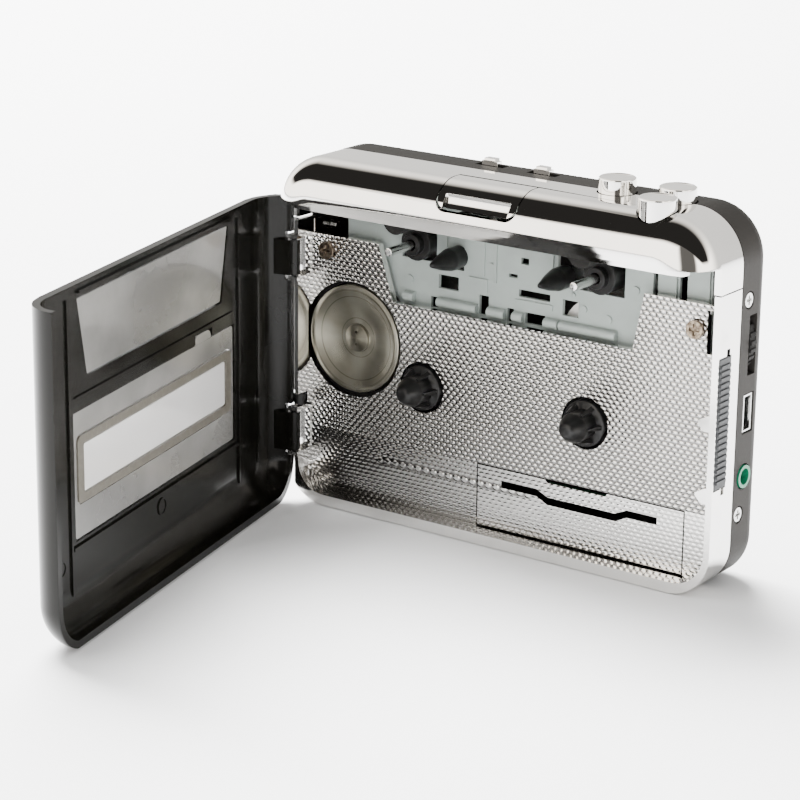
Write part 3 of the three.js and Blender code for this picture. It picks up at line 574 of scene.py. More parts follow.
def pick(obj, kind, test):
    """In edit mode, selects the faces, edges or vertices whose centre and normal pass a test, in mm."""
    bpy.ops.mesh.select_mode(type={"verts": "VERT", "edges": "EDGE", "faces": "FACE"}[kind])
    bpy.ops.mesh.select_all(action="DESELECT")
    work = bmesh.from_edit_mesh(obj.data)
    work.normal_update()
    for item in getattr(work, kind):
        if kind == "verts":
            item.select_set(test(item.co / MM))
        elif kind == "edges":
            a, b = (v.co / MM for v in item.verts)
            item.select_set(test(a, b))
        else:
            item.select_set(test(item.calc_center_median() / MM, item.normal))
    work.select_flush_mode()
    bmesh.update_edit_mesh(obj.data)


def block(name, x0, x1, y0, y1, z0, z1):
    """A box between two corners, in mm."""
    bpy.ops.object.select_all(action="DESELECT")
    centre = [(a + b) / 2 * MM for a, b in ((x0, x1), (y0, y1), (z0, z1))]
    bpy.ops.mesh.primitive_cube_add(size=1, location=centre)
    bpy.context.object.scale = ((x1 - x0) * MM, (y1 - y0) * MM, (z1 - z0) * MM)
    return put_down(name)


def rod(name, axis, centre, radius, low, high, sides=32):
    """A round bar along X, Y or Z; centre gives its other two coordinates, in mm."""
    bpy.ops.object.select_all(action="DESELECT")
    middle = (low + high) / 2
    spot = {"X": (middle, *centre), "Y": (centre[0], middle, centre[1]), "Z": (*centre, middle)}[axis]
    turn = {"X": (0, math.pi / 2, 0), "Y": (math.pi / 2, 0, 0), "Z": (0, 0, 0)}[axis]
    bpy.ops.mesh.primitive_cylinder_add(
        vertices=sides, radius=radius * MM, depth=(high - low) * MM, location=[c * MM for c in spot], rotation=turn)
    return put_down(name)


def carve(obj, *cutters, how="DIFFERENCE"):
    """Cuts, joins or keeps what is common to obj and each cutter, and uses the cutters up."""
    for cutter in cutters:
        take_up(obj)
        change = obj.modifiers.new("cut", "BOOLEAN")
        change.operation, change.object, change.solver = how, cutter, "EXACT"
        bpy.ops.object.modifier_apply(modifier=change.name)
        bpy.data.objects.remove(cutter)
    return obj


def slice_off(obj, point, normal):
    """Removes what lies beyond a plane, towards its normal, and closes the cut."""
    take_up(obj)
    bpy.ops.object.mode_set(mode="EDIT")
    bpy.ops.mesh.select_all(action="SELECT")
    bpy.ops.mesh.bisect(
        plane_co=[c * MM for c in point], plane_no=normal, use_fill=True, clear_outer=True)
    bpy.ops.object.mode_set(mode="OBJECT")
    return obj


def copy_of(obj, name):
    """A second object with its own mesh."""
    twin = bpy.data.objects.new(name, obj.data.copy())
    bpy.context.scene.collection.objects.link(twin)
    return twin


def soften(obj, width=None, steps=2, angle=40):
    """Rounds the crisp edges and shades the curves smoothly."""
    take_up(obj)
    width = sizes().edge_round if width is None else width * MM
    if width > 0:
        edge = obj.modifiers.new("round", "BEVEL")
        edge.width, edge.segments, edge.limit_method = width, steps, "ANGLE"
        edge.angle_limit, edge.use_clamp_overlap = math.radians(angle), True
        edge.miter_outer = "MITER_ARC"
        bpy.ops.object.modifier_apply(modifier=edge.name)
    bpy.ops.object.shade_smooth_by_angle(angle=math.radians(angle), keep_sharp_edges=False)
    weigh = obj.modifiers.new("weigh", "WEIGHTED_NORMAL")
    weigh.keep_sharp = True
    bpy.ops.object.modifier_apply(modifier=weigh.name)
    return obj


def tidy_shell(obj):
    """Merges doubled points and clears needless edges on flat faces."""
    take_up(obj)
    bpy.ops.object.mode_set(mode="EDIT")
    bpy.ops.mesh.select_all(action="SELECT")
    bpy.ops.mesh.remove_doubles(threshold=0.004 * MM)
    bpy.ops.mesh.dissolve_limited(angle_limit=math.radians(0.4))
    bpy.ops.object.mode_set(mode="OBJECT")
    return obj


def settle(obj, look, *nodes, slot=None):
    """Gives a finished piece its material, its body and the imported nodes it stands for."""
    obj.data.materials.clear()
    obj.data.materials.append(finish(look))
    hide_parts(*nodes)
    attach(obj, frame["nodes"][nodes[0]]["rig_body"])
    return obj


def softened_node(node, look, slot, width=None, steps=2, angle=40):
    """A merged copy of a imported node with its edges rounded."""
    obj = tidy_shell(copy_of(frame["nodes"][node], node + "_finished"))
    return settle(soften(obj, width, steps, angle), look, node, slot=slot)


def turned(name, profile, sides=48):
    """A turned piece along Z: rings of [radius, height] in mm are extruded one from the last."""
    bpy.ops.object.select_all(action="DESELECT")
    radius, height = profile[0]
    bpy.ops.mesh.primitive_circle_add(
        vertices=sides, radius=radius * MM, fill_type="NGON", location=(0, 0, height * MM))
    obj = put_down(name)
    bpy.ops.object.mode_set(mode="EDIT")
    bpy.ops.mesh.select_all(action="SELECT")
    for next_radius, next_height in profile[1:]:
        bpy.ops.mesh.extrude_region_move(
            TRANSFORM_OT_translate={"value": (0, 0, (next_height - height) * MM), "orient_type": "GLOBAL"})
        scale = next_radius / radius
        bpy.ops.transform.resize(
            value=(scale, scale, 1), center_override=(0, 0, next_height * MM), orient_type="GLOBAL")
        radius, height = next_radius, next_height
    bpy.ops.mesh.select_all(action="SELECT")
    bpy.ops.mesh.normals_make_consistent(inside=False)
    bpy.ops.object.mode_set(mode="OBJECT")
    return obj


def move_to(obj, matrix):
    """Moves the mesh itself, so that the object stays at the origin."""
    take_up(obj)
    obj.matrix_world = matrix @ obj.matrix_world
    bpy.ops.object.transform_apply(location=True, rotation=True, scale=True)
    return obj


def at(x, y, z, axis="Z"):
    """The matrix that stands a piece made along Z at a point, along another axis. Millimetres."""
    turn = {
        "Z": Matrix.Identity(4),
        "-Y": Matrix.Rotation(math.pi / 2, 4, "X"),
        "Y": Matrix.Rotation(-math.pi / 2, 4, "X"),
        "X": Matrix.Rotation(math.pi / 2, 4, "Y"),
        "-X": Matrix.Rotation(-math.pi / 2, 4, "Y"),
    }[axis]
    return Matrix.Translation((x * MM, y * MM, z * MM)) @ turn


def rolled_block(name, inset=0.0, back=False):
    """The body's outline as a block, its front or back edge rolled over; inset shrinks it evenly."""
    half, low, high = HALF_W - inset, inset, HEIGHT - inset
    near, far = (FRONT_Y + inset, 12.0) if not back else (-6.0, BACK_Y - inset)
    obj = block(name, -half, half, near, far, low, high)
    roll = (BACK_ROLL if back else ROLL) - inset
    depth = (BACK_ROLL if back else ROLL_DEPTH) - inset
    edge_y = far if back else near
    bpy.ops.object.mode_set(mode="EDIT")
    for level, radius in ((low, CORNER_LOW - inset), (high, CORNER_TOP - inset)):
        pick(obj, "edges", lambda a, b: abs(a.y - b.y) > 1 and abs(a.z - level) < 0.1 and abs(b.z - level) < 0.1
             and abs(abs(a.x) - half) < 0.1)
        bpy.ops.mesh.bevel(offset=radius * MM, segments=sizes().corner_steps, affect="EDGES", clamp_overlap=False)
    stretch = roll / depth
    bpy.ops.mesh.select_all(action="SELECT")
    bpy.ops.transform.resize(value=(1, stretch, 1), center_override=(0, edge_y * MM, 0))
    pick(obj, "edges", lambda a, b: abs(a.y - edge_y) < 0.01 and abs(b.y - edge_y) < 0.01)
    bpy.ops.mesh.bevel(offset=roll * MM, segments=sizes().roll_steps, affect="EDGES", clamp_overlap=False)
    bpy.ops.mesh.select_all(action="SELECT")
    bpy.ops.transform.resize(value=(1, 1 / stretch, 1), center_override=(0, edge_y * MM, 0))
    bpy.ops.mesh.remove_doubles(threshold=0.01 * MM)
    bpy.ops.mesh.normals_make_consistent(inside=False)
    bpy.ops.object.mode_set(mode="OBJECT")
    return obj


def smile_block(name, inset, lift, back_y):
    """A block with its two lower edges rounded, which outlines the latch."""
    half = 10.2 - inset
    obj = block(name, -half, half, -20, back_y, HUB_Z + 43.9 + lift, HEIGHT + 6)
    bpy.ops.object.mode_set(mode="EDIT")
    pick(obj, "edges", lambda a, b: abs(a.y - b.y) > 1 and a.z < HEIGHT and b.z < HEIGHT)
    bpy.ops.mesh.bevel(offset=2.6 * MM, segments=8, affect="EDGES", clamp_overlap=False)
    bpy.ops.object.mode_set(mode="OBJECT")
    return obj


def cover_skin(name):
    """The chrome top cover before its openings are cut."""
    skin = slice_off(rolled_block(name), (0, SEAM_Y, 0), (0, 1, 0))
    slice_off(skin, (0, 0, COVER_SPLIT_Z), (0, 0, -1))
    upper = slice_off(slice_off(rolled_block("hollow", SKIN), (0, 5, 0), (0, 1, 0)), (0, 0, BAND_Z + 1.4), (0, 0, -1))
    rear = slice_off(slice_off(rolled_block("hollow", SKIN), (0, 5, 0), (0, 1, 0)), (0, -9.4, 0), (0, -1, 0))
    front_gap = block("gap", -60, 60, -20, PART_Y, 0, BAND_Z)
    carve(skin, front_gap, upper, rear)
    return skin


# ---------------------------------------------------------------- casing
class MESH_OT_player_top_cover(bpy.types.Operator):
    """Chrome top cover with its rolled front, and the latch let into it"""
    bl_idname = "mesh.player_top_cover"
    bl_label = "Top Cover and Latch"

    def execute(self, context):
        cover = cover_skin("top_cover_finished")
        carve(cover, smile_block("latch_gap", 0.0, 0.0, -2.5))
        for _, x, y, _ in KEYS:
            carve(cover, rod("key_gap", "Z", (x, y), KEY_R + 0.3, HUB_Z + 36, HEIGHT + 5, 40))
        carve(cover, block("hinge_gap", -60, -53.2, PART_Y - 1, -2.4, COVER_SPLIT_Z - 1, BAND_Z))
        rebate = block("rebate", -52, 52, -10.8, -9.4, LIP_Z, BAND_Z + 4)
        bpy.ops.object.mode_set(mode="EDIT")
        pick(rebate, "edges", lambda a, b: abs(a.y - b.y) > 1 and a.z < BAND_Z and b.z < BAND_Z)
        bpy.ops.mesh.bevel(offset=3.0 * MM, segments=8, affect="EDGES", clamp_overlap=False)
        bpy.ops.object.mode_set(mode="OBJECT")
        slice_off(rebate, (0, 0, BAND_Z + 0.5), (0, 0, 1))
        carve(rebate, rolled_block("inside", SKIN + 0.5), how="INTERSECT")
        carve(cover, rebate, how="UNION")
        settle(soften(cover, 0.2), "mirror", "top_cover", slot="mirror_chrome")

        latch = carve(cover_skin("latch_button_finished"), smile_block("zone", 0.28, 0.68, -3.2), how="INTERSECT")
        scoop = rod("scoop", "X", (-13.5, HUB_Z + 47.1), 3.3, -8.2, 8.2, 48)
        carve(latch, scoop)
        settle(soften(latch, 0.18), "mirror", "latch_button", slot="mirror_chrome")
        return {"FINISHED"}


class MESH_OT_player_cassette_frame(bpy.types.Operator):
    """Pebbled chrome floor and low walls, with the battery cover"""
    bl_idname = "mesh.player_cassette_frame"
    bl_label = "Cassette Frame"

    def execute(self, context):
        softened_node("cassette_frame", "pebbled", "pebbled_chrome", 0.16)
        softened_node("battery_cover", "pebbled", "pebbled_chrome", 0.1)
        for node in ("cassette_spring_upper", "cassette_spring_lower"):
            softened_node(node, "mirror", "mirror_chrome", 0.12)
        return {"FINISHED"}


class MESH_OT_player_rear_shell(bpy.types.Operator):
    """Matt rear shell with its slots and holes"""
    bl_idname = "mesh.player_rear_shell"
    bl_label = "Rear Shell"

    def execute(self, context):
        front = SEAM_Y + 0.3
        shell = slice_off(rolled_block("rear_shell_finished", back=True), (0, front, 0), (0, -1, 0))
        carve(shell, rolled_block("hollow", SKIN, back=True))
        for _, x, y, _ in KEYS:
            carve(shell, rod("key_gap", "Z", (x, y), KEY_R + 0.3, HUB_Z + 36, HEIGHT + 5, 40))
        for _, x, y in SWITCHES:
            carve(shell, block("switch_gap", x - 3.6, x + 3.6, y - 1.2, y + 1.2, HEIGHT - 4, HEIGHT + 4))
        carve(shell, block("wheel_gap", 50, 60, WHEEL[1] - 1.5, WHEEL[1] + 1.5, WHEEL[2] - 6.4, WHEEL[2] + 6.4))
        carve(shell, block("usb_gap", 50, 60, USB[0] - 2.1, USB[0] + 2.1, USB[1] - 4.3, USB[1] + 4.3))
        carve(shell, rod("jack_gap", "X", JACK, 2.8, 50, 60, 40))
        for y, z in SIDE_SCREWS:
            carve(shell, rod("screw_gap", "X", (y, z), 1.9, -60, -50), rod("screw_gap", "X", (y, z), 1.9, 50, 60))
        settle(soften(shell, 0.25), "shell", "rear_shell", slot="rear_grey")
        return {"FINISHED"}


# ---------------------------------------------------------------- door
def open_door(obj):
    """Swings a piece made in the closed position to where the open door stands."""
    hinge = Matrix.Translation((HINGE[0] * MM, HINGE[1] * MM, 0))
    return move_to(obj, hinge @ Matrix.Rotation(math.radians(-76), 4, "Z") @ hinge.inverted())


def window_gap(name, points):
    """A four-cornered cutter through the door, its corners given as (x, z) from the lower left round."""
    (x0, z0), (x1, _), (x2, z2), (x3, _) = points
    obj = block(name, x0, x1, -20, -2, z0, z2)
    bpy.ops.object.mode_set(mode="EDIT")
    pick(obj, "faces", lambda c, n: n.z > 0.9)
    bpy.ops.transform.resize(value=((x2 - x3) / (x1 - x0), 1, 1), center_override=((x2 + x3) / 2 * MM, 0, z2 * MM))
    bpy.ops.object.mode_set(mode="OBJECT")
    return obj


# Ribs standing on the door's inner face: x from and to, depth, heights above the reel centres.
DOOR_RIBS = (
    (-38.0, 38.0, -10.7, -14.9, -14.2), (-46.0, 46.0, -10.4, -27.6, -27.0), (-46.0, 46.0, -10.7, -25.4, -25.0),
    (-39.0, -38.4, -10.8, -24.0, 37.0), (38.4, 39.0, -10.8, -24.0, 37.0), (-36.0, 36.0, -10.8, 16.2, 16.6),
    (-34.0, 34.0, -10.6, 37.3, 37.9), (-48.4, -47.9, -10.9, -22.0, 20.0), (43.0, 43.5, -10.9, -22.0, 34.0),
)


class MESH_OT_player_door(bpy.types.Operator):
    """Black door tray with ribs, hinge arms and its lenses"""
    bl_idname = "mesh.player_door"
    bl_label = "Door"

    def execute(self, context):
        shell = slice_off(rolled_block("door_shell_finished"), (0, PART_Y - 0.3, 0), (0, 1, 0))
        slice_off(shell, (0, 0, DOOR_TOP_Z), (0, 0, 1))
        slice_off(shell, (0, 0, DOOR_LOW_Z), (0, 0, -1))
        hollow = slice_off(rolled_block("hollow", SKIN), (0, 0, DOOR_LOW_Z + SKIN), (0, 0, -1))
        carve(shell, hollow)
        for z0, z1 in HINGE_ZONES:
            carve(shell, block("relief", -60, -50, -6.4, 0, z0 - 1.6, z1 + 1.6))
        upper = ((-30.5, HUB_Z + 19.7), (30.5, 0), (34.2, HUB_Z + 36.4), (-34.2, 0))
        carve(shell, window_gap("window", upper))
        carve(shell, block("window", -36.7, 36.7, -20, -2, HUB_Z - 13.3, HUB_Z + 13.5))
        carve(shell, block("bump_gap", -25.9, -17.6, -20, -2, HUB_Z + 13.0, HUB_Z + 15.5))
        for x0, x1, y1, z0, z1 in DOOR_RIBS:
            carve(shell, block("rib", x0, x1, -11.6, y1, HUB_Z + z0, HUB_Z + z1), how="UNION")
        for x, z, radius in ((-0.8, -17.6, 1.9), (43.0, -17.0, 1.8)):
            carve(shell, rod("mark", "Y", (x, HUB_Z + z), radius, -11.5, -10.95, 40), how="UNION")
            carve(shell, rod("mark", "Y", (x, HUB_Z + z), radius - 0.35, -11.1, -10.5, 40))
        for z0, z1 in HINGE_ZONES:
            arm = block("arm", -55.0, -52.0, -8.4, -4.4, z0, z1)
            carve(arm, rod("knuckle", "Z", HINGE, 1.4, z0, z1), how="UNION")
            carve(arm, rod("bore", "Z", HINGE, 0.95, z0 - 1, z1 + 1, 24))
            carve(shell, arm, how="UNION")
        settle(open_door(soften(shell, 0.2)), "door", "door_shell", slot="gloss_black")
        middle = tidy_shell(copy_of(frame["nodes"]["door_middle_lens"], "door_middle_lens_finished"))
        bump = block("bump", -25.6, -17.9, -12.5, -11.4, HUB_Z + 12.4, HUB_Z + 15.2)
        bpy.ops.object.mode_set(mode="EDIT")
        pick(bump, "edges", lambda a, b: abs(a.y - b.y) > 0.5 and a.z > HUB_Z + 15 and b.z > HUB_Z + 15)
        bpy.ops.mesh.bevel(offset=1.6 * MM, segments=6, affect="EDGES", clamp_overlap=False)
        bpy.ops.object.mode_set(mode="OBJECT")
        carve(middle, open_door(bump), how="UNION")
        settle(soften(middle, 0.12), "lens", "door_middle_lens", slot="lens_grey")
        for node, look, slot in (
            ("door_upper_lens", "lens", "lens_grey"),
            ("door_lens_ring", "olive", "lens_olive"),
            ("door_label_window", "clear", "lens_clear"),
        ):
            softened_node(node, look, slot, 0.12)
        return {"FINISHED"}


# ---------------------------------------------------------------- controls
class MESH_OT_player_keys(bpy.types.Operator):
    """Round chrome keys with a raised rim, and the two slide switches"""
    bl_idname = "mesh.player_keys"
    bl_label = "Keys and Switches"

    def execute(self, context):
        for name, x, y, top in KEYS:
            low = top - 7.6
            key = turned(name + "_finished", [
                (KEY_R, 0), (KEY_R, 7.1), (KEY_R - 0.1, 7.42), (KEY_R - 0.38, 7.6), (KEY_R - 0.7, 7.6),
                (KEY_R - 0.95, 7.42), (KEY_R - 1.5, 7.34), (1.2, 7.36), (0.2, 7.38)], 56)
            settle(soften(move_to(key, at(x, y, low)), 0, angle=35), "mirror", name, slot="mirror_chrome")
        for name, x, y in SWITCHES:
            softened_node(name, "mirror", "mirror_chrome", 0.15)
        return {"FINISHED"}


class MESH_OT_player_side_fittings(bpy.types.Operator):
    """Volume wheel, sockets, grip strip and side screws"""
    bl_idname = "mesh.player_side_fittings"
    bl_label = "Side Fittings"

    def execute(self, context):
        softened_node("volume_wheel", "rubber", "black_plastic", 0.08)
        softened_node("usb_socket", "steel", "bright_steel", 0.1)
        softened_node("jack_socket", "green", "green_plastic", 0.15)
        softened_node("grip_strip", "grip", "ribbed_grey", 0.12)
        for side in ("right", "left"):
            for level in ("upper", "lower"):
                softened_node(f"side_screw_{side}_{level}", "steel", "bright_steel", 0.08)
        for side in ("left", "right"):
            softened_node(f"floor_screw_{side}", "bronze", "bright_steel", 0.08)
        return {"FINISHED"}


# ---------------------------------------------------------------- mechanism
class MESH_OT_player_spindles(bpy.types.Operator):
    """Black reel spindles with their splines and pointed noses"""
    bl_idname = "mesh.player_spindles"
    bl_label = "Reel Spindles"

    def execute(self, context):
        for side, which in ((-1, "left"), (1, "right")):
            core = turned("reel_spindle_" + which + "_finished", [
                (1.2, -7.4), (1.2, -6.2), (7.3, -6.2), (7.3, -4.7), (2.0, -4.7), (2.0, -2.2), (5.1, -2.0),
                (5.1, 0.4), (4.9, 0.6), (3.4, 0.75), (3.3, 1.0), (3.3, 4.3), (3.15, 5.0), (2.5, 6.1),
                (2.0, 7.0), (1.5, 7.5), (0.9, 7.65), (0.1, 7.65)], 48)
            for i in range(6):
                rib = block("rib", 2.9, 4.6, -0.5, 0.5, 0.6, 4.3)
                bpy.ops.object.mode_set(mode="EDIT")
                pick(rib, "faces", lambda c, n: n.z > 0.9)
                bpy.ops.transform.resize(value=(0.45, 0.6, 1), center_override=(2.9 * MM, 0, 4.3 * MM))
                bpy.ops.object.mode_set(mode="OBJECT")
                move_to(rib, Matrix.Rotation(math.radians(60 * i), 4, "Z"))
                carve(core, rib, how="UNION")
            move_to(soften(core, 0.12), at(side * HUB_X, 0, HUB_Z, "-Y"))
            settle(core, "black", "reel_spindle_" + which, slot="black_plastic")
        return {"FINISHED"}


# Windows, rivets, raised steps and rolled tabs of the mechanism plate; heights are above the reel centres.
PLATE_WINDOWS = (
    (-29.1, -19.3, 28.1, 36.5), (11.6, 28.2, 27.9, 36.5), (-15.4, -12.5, 27.3, 32.0), (-19.2, -13.9, 22.5, 25.6),
    (1.8, 9.8, 24.0, 25.6), (13.0, 17.0, 21.7, 25.2), (-0.9, 1.4, 27.9, 28.7), (-21.2, -19.2, 17.8, 20.3),
    (-8.4, -5.9, 18.3, 22.7), (-1.1, 0.6, 17.9, 21.0), (3.6, 8.7, 18.3, 20.8), (35.0, 36.1, 26.0, 38.5),
    (41.3, 43.1, 26.0, 38.5), (2.2, 4.2, 31.2, 32.6),
)
PLATE_RIVETS = (
    (-26.8, 23.2, 1.0), (-5.3, 29.5, 0.8), (18.4, 23.9, 0.8), (24.4, 22.6, 1.0), (15.7, 26.6, 0.5), (31.0, 30.0, 0.9),
)
PLATE_STEPS = (
    (-12.2, -7.0, 2.6, 27.0, 39.0), (-19.6, -16.9, 2.7, 28.4, 39.0), (-11.0, -6.2, 2.7, 23.6, 26.4),
    (-4.6, -3.9, 2.6, 26.0, 39.0), (5.6, 10.6, 2.6, 27.0, 39.0), (1.0, 10.6, 2.7, 22.2, 23.4),
    (36.6, 40.8, 2.5, 29.0, 39.0), (43.5, 48.6, 2.5, 29.0, 39.0),
)
PLATE_ROLLS = ((-28.0, -25.3), (-19.0, -8.6), (-5.7, -1.3), (0.8, 3.4), (8.9, 12.4), (12.8, 26.8))


class MESH_OT_player_mechanism(bpy.types.Operator):
    """Plate, capstans, guides, rollers, head and motor"""
    bl_idname = "mesh.player_mechanism"
    bl_label = "Mechanism"

    def execute(self, context):
        plate = block("mechanism_plate_finished", -44, 49, 3.0, 3.9, HUB_Z + 14.5, HUB_Z + 41.2)
        for x0, x1, z0, z1 in PLATE_WINDOWS:
            carve(plate, block("window", x0, x1, 2, 5, HUB_Z + z0, HUB_Z + z1))
        carve(plate, rod("motor_gap", "Y", MOTOR[:2], MOTOR[2] + 2.4, 2, 5, 64))
        for x, z, radius in PLATE_RIVETS:
            carve(plate, rod("rivet", "Y", (x, HUB_Z + z), radius, 2.65, 3.2, 24), how="UNION")
        for x0, x1, y0, z0, z1 in PLATE_STEPS:
            carve(plate, block("step", x0, x1, y0, 3.2, HUB_Z + z0, HUB_Z + z1), how="UNION")
        for x0, x1 in PLATE_ROLLS:
            carve(plate, rod("roll", "X", (2.6, HUB_Z + 19.5), 1.1, x0, x1, 24), how="UNION")
        carve(plate, block("seat", 21.0, 43.5, 0.6, 8.0, HUB_Z + 40.3, HUB_Z + 41.2), how="UNION")
        carve(plate, block("seat", 36.4, 44.0, -8.4, 3.2, HUB_Z + 40.3, HUB_Z + 41.2), how="UNION")
        carve(plate, rod("post", "Y", (HUB_X, HUB_Z + 17.0), 1.0, 3.2, 6.8), how="UNION")
        for x in (-33, 33):
            carve(plate, rod("post", "Y", (x, HUB_Z + 40.0), 1.0, -2.4, 3.2), how="UNION")
        settle(soften(plate, 0.12), "plate", "mechanism_plate", slot="zinc_plate")
        softened_node("head_carriage", "plate", "zinc_plate", 0.12)
        softened_node("tape_head", "steel", "bright_steel", 0.3, 3)
        for side, which in ((-1, "left"), (1, "right")):
            shaft = turned("capstan_" + which + "_finished", [
                (0.7, -13.4), (1.0, -13.1), (1.0, 9.6), (0.85, 9.9), (0.6, 10.0), (0.1, 10.0)], 32)
            move_to(soften(shaft, 0, angle=35), at(side * 23.6, 0, HUB_Z + 32.3, "-Y"))
            settle(shaft, "steel", "capstan_" + which, slot="bright_steel")
            cone = turned("cassette_guide_" + which + "_finished", [
                (2.5, -2.8), (2.5, 0.8), (2.4, 1.4), (2.1, 2.6), (1.7, 4.2), (1.2, 5.6), (0.8, 6.8),
                (0.5, 7.6), (0.25, 7.88), (0.05, 7.9)], 32)
            move_to(soften(cone, 0, angle=50), at(side * 13.8, 0, HUB_Z + 30.4, "-Y"))
            settle(cone, "black", "cassette_guide_" + which, slot="black_plastic")
            softened_node("capstan_bush_" + which, "black", "black_plastic", 0.15)
            softened_node("pinch_arm_" + which, "plate", "zinc_plate", 0.1)
            softened_node("pinch_roller_" + which, "rubber", "black_rubber", 0.1)
            softened_node("flywheel_" + which, "steel", "bright_steel", 0.15)
        can = turned("motor_can_finished", [
            (12.4, -9.7), (12.4, -1.0), (12.25, -0.6), (11.9, -0.45), (11.3, -0.45), (10.9, -0.55),
            (9.8, -1.1), (7.8, -1.75), (5.8, -2.05), (4.6, -2.1), (3.3, -2.1), (3.15, -1.95), (3.1, -1.4),
            (2.95, -1.3), (0.05, -1.3)], 64)
        move_to(soften(can, 0, angle=35), at(MOTOR[0], 0, MOTOR[1], "-Y"))
        for offset in (-1.4, 1.4):
            carve(can, rod("vent", "Y", (MOTOR[0], MOTOR[1] + offset), 0.35, 0.5, 1.9, 16))
        settle(can, "motor", "motor_can", slot="motor_metal")
        return {"FINISHED"}


PLAIN_FINISHES = {
    "hinge_pin_lower": "black", "hinge_pin_upper": "black", "hinge_spring": "black", "latch_spring": "steel",
    "play_key_spring": "steel", "forward_key_spring": "steel", "stop_key_spring": "steel",
    "motor_seat_ring": "rubber", "motor_pulley": "black", "drive_belt": "rubber", "idler_wheel": "white",
    "battery_contact_left": "steel", "battery_contact_right": "steel", "circuit_board": "board",
}


class MESH_OT_player_hidden_parts(bpy.types.Operator):
    """Finishes for the pins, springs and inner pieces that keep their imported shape"""
    bl_idname = "mesh.player_hidden_parts"
    bl_label = "Inner Parts"

    def execute(self, context):
        for node, look in PLAIN_FINISHES.items():
            obj = frame["nodes"][node]
            if not obj.material_slots:
                obj.data.materials.append(None)
            for place in obj.material_slots:
                place.material = finish(look)
        return {"FINISHED"}


# ---------------------------------------------------------------- stage
# Brightness of the surroundings as the plated parts mirror them, as the camera sees them, and as diffuse light.
MIRRORED_FRONT = (5.0, 4.7, 4.3)
MIRRORED_BACK = (1.45, 1.42, 1.36)
MIRRORED_DARK = (0.03, 0.028, 0.026)
SEEN_BACKDROP = (6.0, 6.0, 6.0)
DIFFUSE_LIGHT = (1.0, 1.0, 1.0)
CAMERA_TURNS = (35.9, 16.95, 0.67)  # yaw, pitch and roll in degrees
CAMERA_PLACE = (0.3141, -0.4714, 0.2046)
CAMERA_LENS, CAMERA_SENSOR = 123.1, 36.0


def studio_world():
    """Bright surroundings with a dark ceiling strip and a dark column, which the plated parts mirror."""
    world = bpy.data.worlds.new("Studio")
    bpy.context.scene.world = world
    world.use_nodes = True
    made = Graph(world.node_tree)
    split = made.tree.nodes.new("ShaderNodeSeparateXYZ")
    made.feed(split.inputs[0], made.node("ShaderNodeTexCoord", output="Generated"))
    x, y, z = (Field(made, split.outputs[i]) for i in range(3))
    lean = y / ((y * y + z * z).root() + 0.001)
    strip = lean.ease(-0.82, -0.70) * (1.0 - lean.ease(0.10, 0.72)) * z.ease(0.15, 0.3)
    towards = (x * 0.586 - y * 0.81) / ((x * x + y * y).root() + 0.001)
    column = towards.ease(0.90, 0.965) * (1.0 - z.ease(0.72, 0.79)) * z.ease(-0.4, -0.1)
    dark = strip.most(column * 0.97)
    behind = y.ease(0.1, 0.7)
    bright = made.mix(behind, MIRRORED_FRONT, MIRRORED_BACK)
    mirrored = made.mix(dark, bright, MIRRORED_DARK)
    path = made.tree.nodes.new("ShaderNodeLightPath")
    seen = made.mix(Field(made, path.outputs["Is Camera Ray"]), mirrored, SEEN_BACKDROP)
    shown = made.mix(Field(made, path.outputs["Is Diffuse Ray"]), seen, DIFFUSE_LIGHT)
    ground = made.tree.nodes["Background"]
    made.feed(ground.inputs["Color"], shown)
    ground.inputs["Strength"].default_value = 1.0


def soft_light(name, place, aim, size, power, tint=(1, 1, 1)):
    lamp = bpy.data.lights.new(name, "AREA")
    lamp.shape, lamp.size, lamp.size_y = "RECTANGLE", size[0], size[1]
    lamp.energy, lamp.color = power, tint
    obj = bpy.data.objects.new(name, lamp)
    bpy.context.scene.collection.objects.link(obj)
    obj.visible_glossy = False
    obj.location = place
    obj.rotation_mode = "QUATERNION"
    obj.rotation_quaternion = (Vector(aim) - Vector(place)).to_track_quat("-Z", "Y")
    return obj


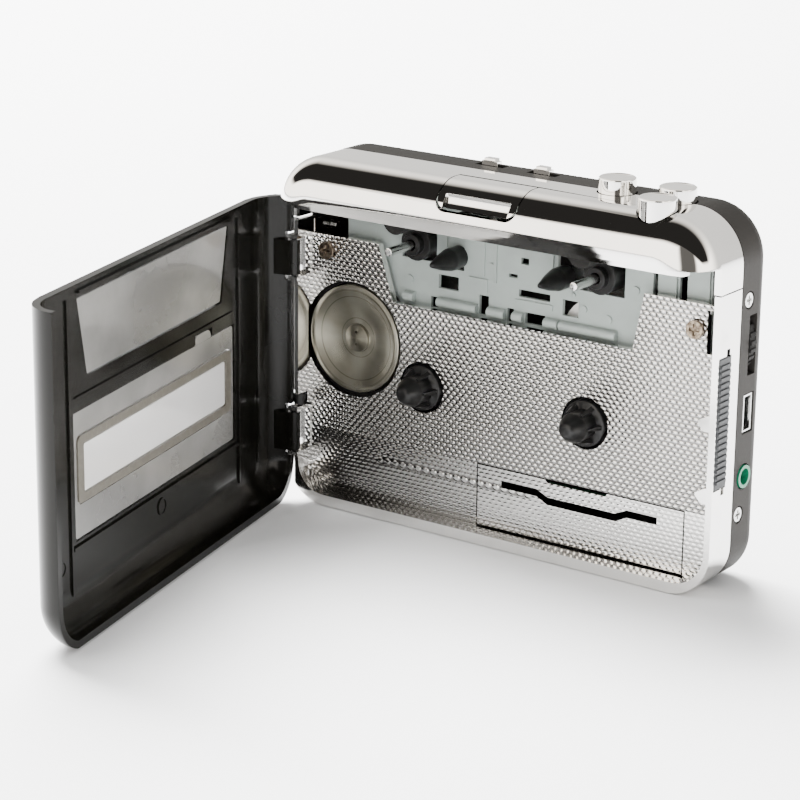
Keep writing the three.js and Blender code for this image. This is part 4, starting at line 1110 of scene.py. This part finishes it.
class SCENE_OT_player_stage(bpy.types.Operator):
    """Pale floor, soft lights and the camera"""
    bl_idname = "scene.player_stage"
    bl_label = "Stage"

    def execute(self, context):
        bpy.ops.object.select_all(action="DESELECT")
        bpy.ops.mesh.primitive_plane_add(size=8, location=(0, 0, -0.0002))
        ground = put_down("studio_floor")
        paint = Surface("Studio Floor", tuple(colours().floor), 0.6)
        ground.data.materials.append(paint.material)
        studio_world()
        soft_light("key_light", (-0.5, -0.7, 1.1), (0, -0.02, 0.03), (0.9, 0.9), 9)
        soft_light("fill_light", (0.9, -0.5, 0.6), (0, 0, 0.04), (0.7, 0.7), 2)
        wash = soft_light("floor_light", (-0.95, 0.5, 1.45), (0, 0, 0), (1.2, 1.1), 300)
        only_floor = bpy.data.collections.new("lit_by_floor_light")
        only_floor.objects.link(ground)
        wash.light_linking.receiver_collection = only_floor

        lens = bpy.data.cameras.new("camera")
        lens.lens, lens.sensor_width = CAMERA_LENS, CAMERA_SENSOR
        lens.clip_start, lens.clip_end = 0.01, 50
        camera = bpy.data.objects.new("camera", lens)
        context.scene.collection.objects.link(camera)
        yaw, pitch, roll = (math.radians(a) for a in CAMERA_TURNS)
        view = Vector((-math.sin(yaw) * math.cos(pitch), math.cos(yaw) * math.cos(pitch), -math.sin(pitch)))
        side = Vector((math.cos(yaw), math.sin(yaw), 0))
        up = side.cross(view)
        right = side * math.cos(roll) + up * math.sin(roll)
        top = up * math.cos(roll) - side * math.sin(roll)
        camera.matrix_world = Matrix((
            (right.x, top.x, -view.x, CAMERA_PLACE[0]),
            (right.y, top.y, -view.y, CAMERA_PLACE[1]),
            (right.z, top.z, -view.z, CAMERA_PLACE[2]),
            (0, 0, 0, 1)))
        context.scene.camera = camera
        return {"FINISHED"}


# ---------------------------------------------------------------- panel and registration
PIECE_OPERATORS = (
    MESH_OT_player_top_cover,
    MESH_OT_player_cassette_frame,
    MESH_OT_player_rear_shell,
    MESH_OT_player_door,
    MESH_OT_player_keys,
    MESH_OT_player_side_fittings,
    MESH_OT_player_spindles,
    MESH_OT_player_mechanism,
    MESH_OT_player_hidden_parts,
    SCENE_OT_player_stage,
)


class VIEW3D_PT_player(bpy.types.Panel):
    """Sizes, colours and building steps of the cassette player"""
    bl_label = "Cassette Player"
    bl_idname = "VIEW3D_PT_player"
    bl_space_type = "VIEW_3D"
    bl_region_type = "UI"
    bl_category = "Cassette Player"

    def draw(self, context):
        for group in (context.scene.player_sizes, context.scene.player_colours):
            for name in group.__annotations__:
                self.layout.prop(group, name)
        for operator in PIECE_OPERATORS:
            self.layout.operator(operator.bl_idname)


CLASSES = (PlayerSizes, PlayerColours, *PIECE_OPERATORS, VIEW3D_PT_player)


def register():
    for cls in CLASSES:
        bpy.utils.register_class(cls)
    bpy.types.Scene.player_sizes = bpy.props.PointerProperty(type=PlayerSizes)
    bpy.types.Scene.player_colours = bpy.props.PointerProperty(type=PlayerColours)


def unregister():
    del bpy.types.Scene.player_colours
    del bpy.types.Scene.player_sizes
    for cls in reversed(CLASSES):
        bpy.utils.unregister_class(cls)


def main():
    register()
    for operator in PIECE_OPERATORS:
        family, name = operator.bl_idname.split(".")
        getattr(getattr(bpy.ops, family), name)()
    bpy.ops.object.select_all(action="DESELECT")


if __name__ == "__main__":
    main()
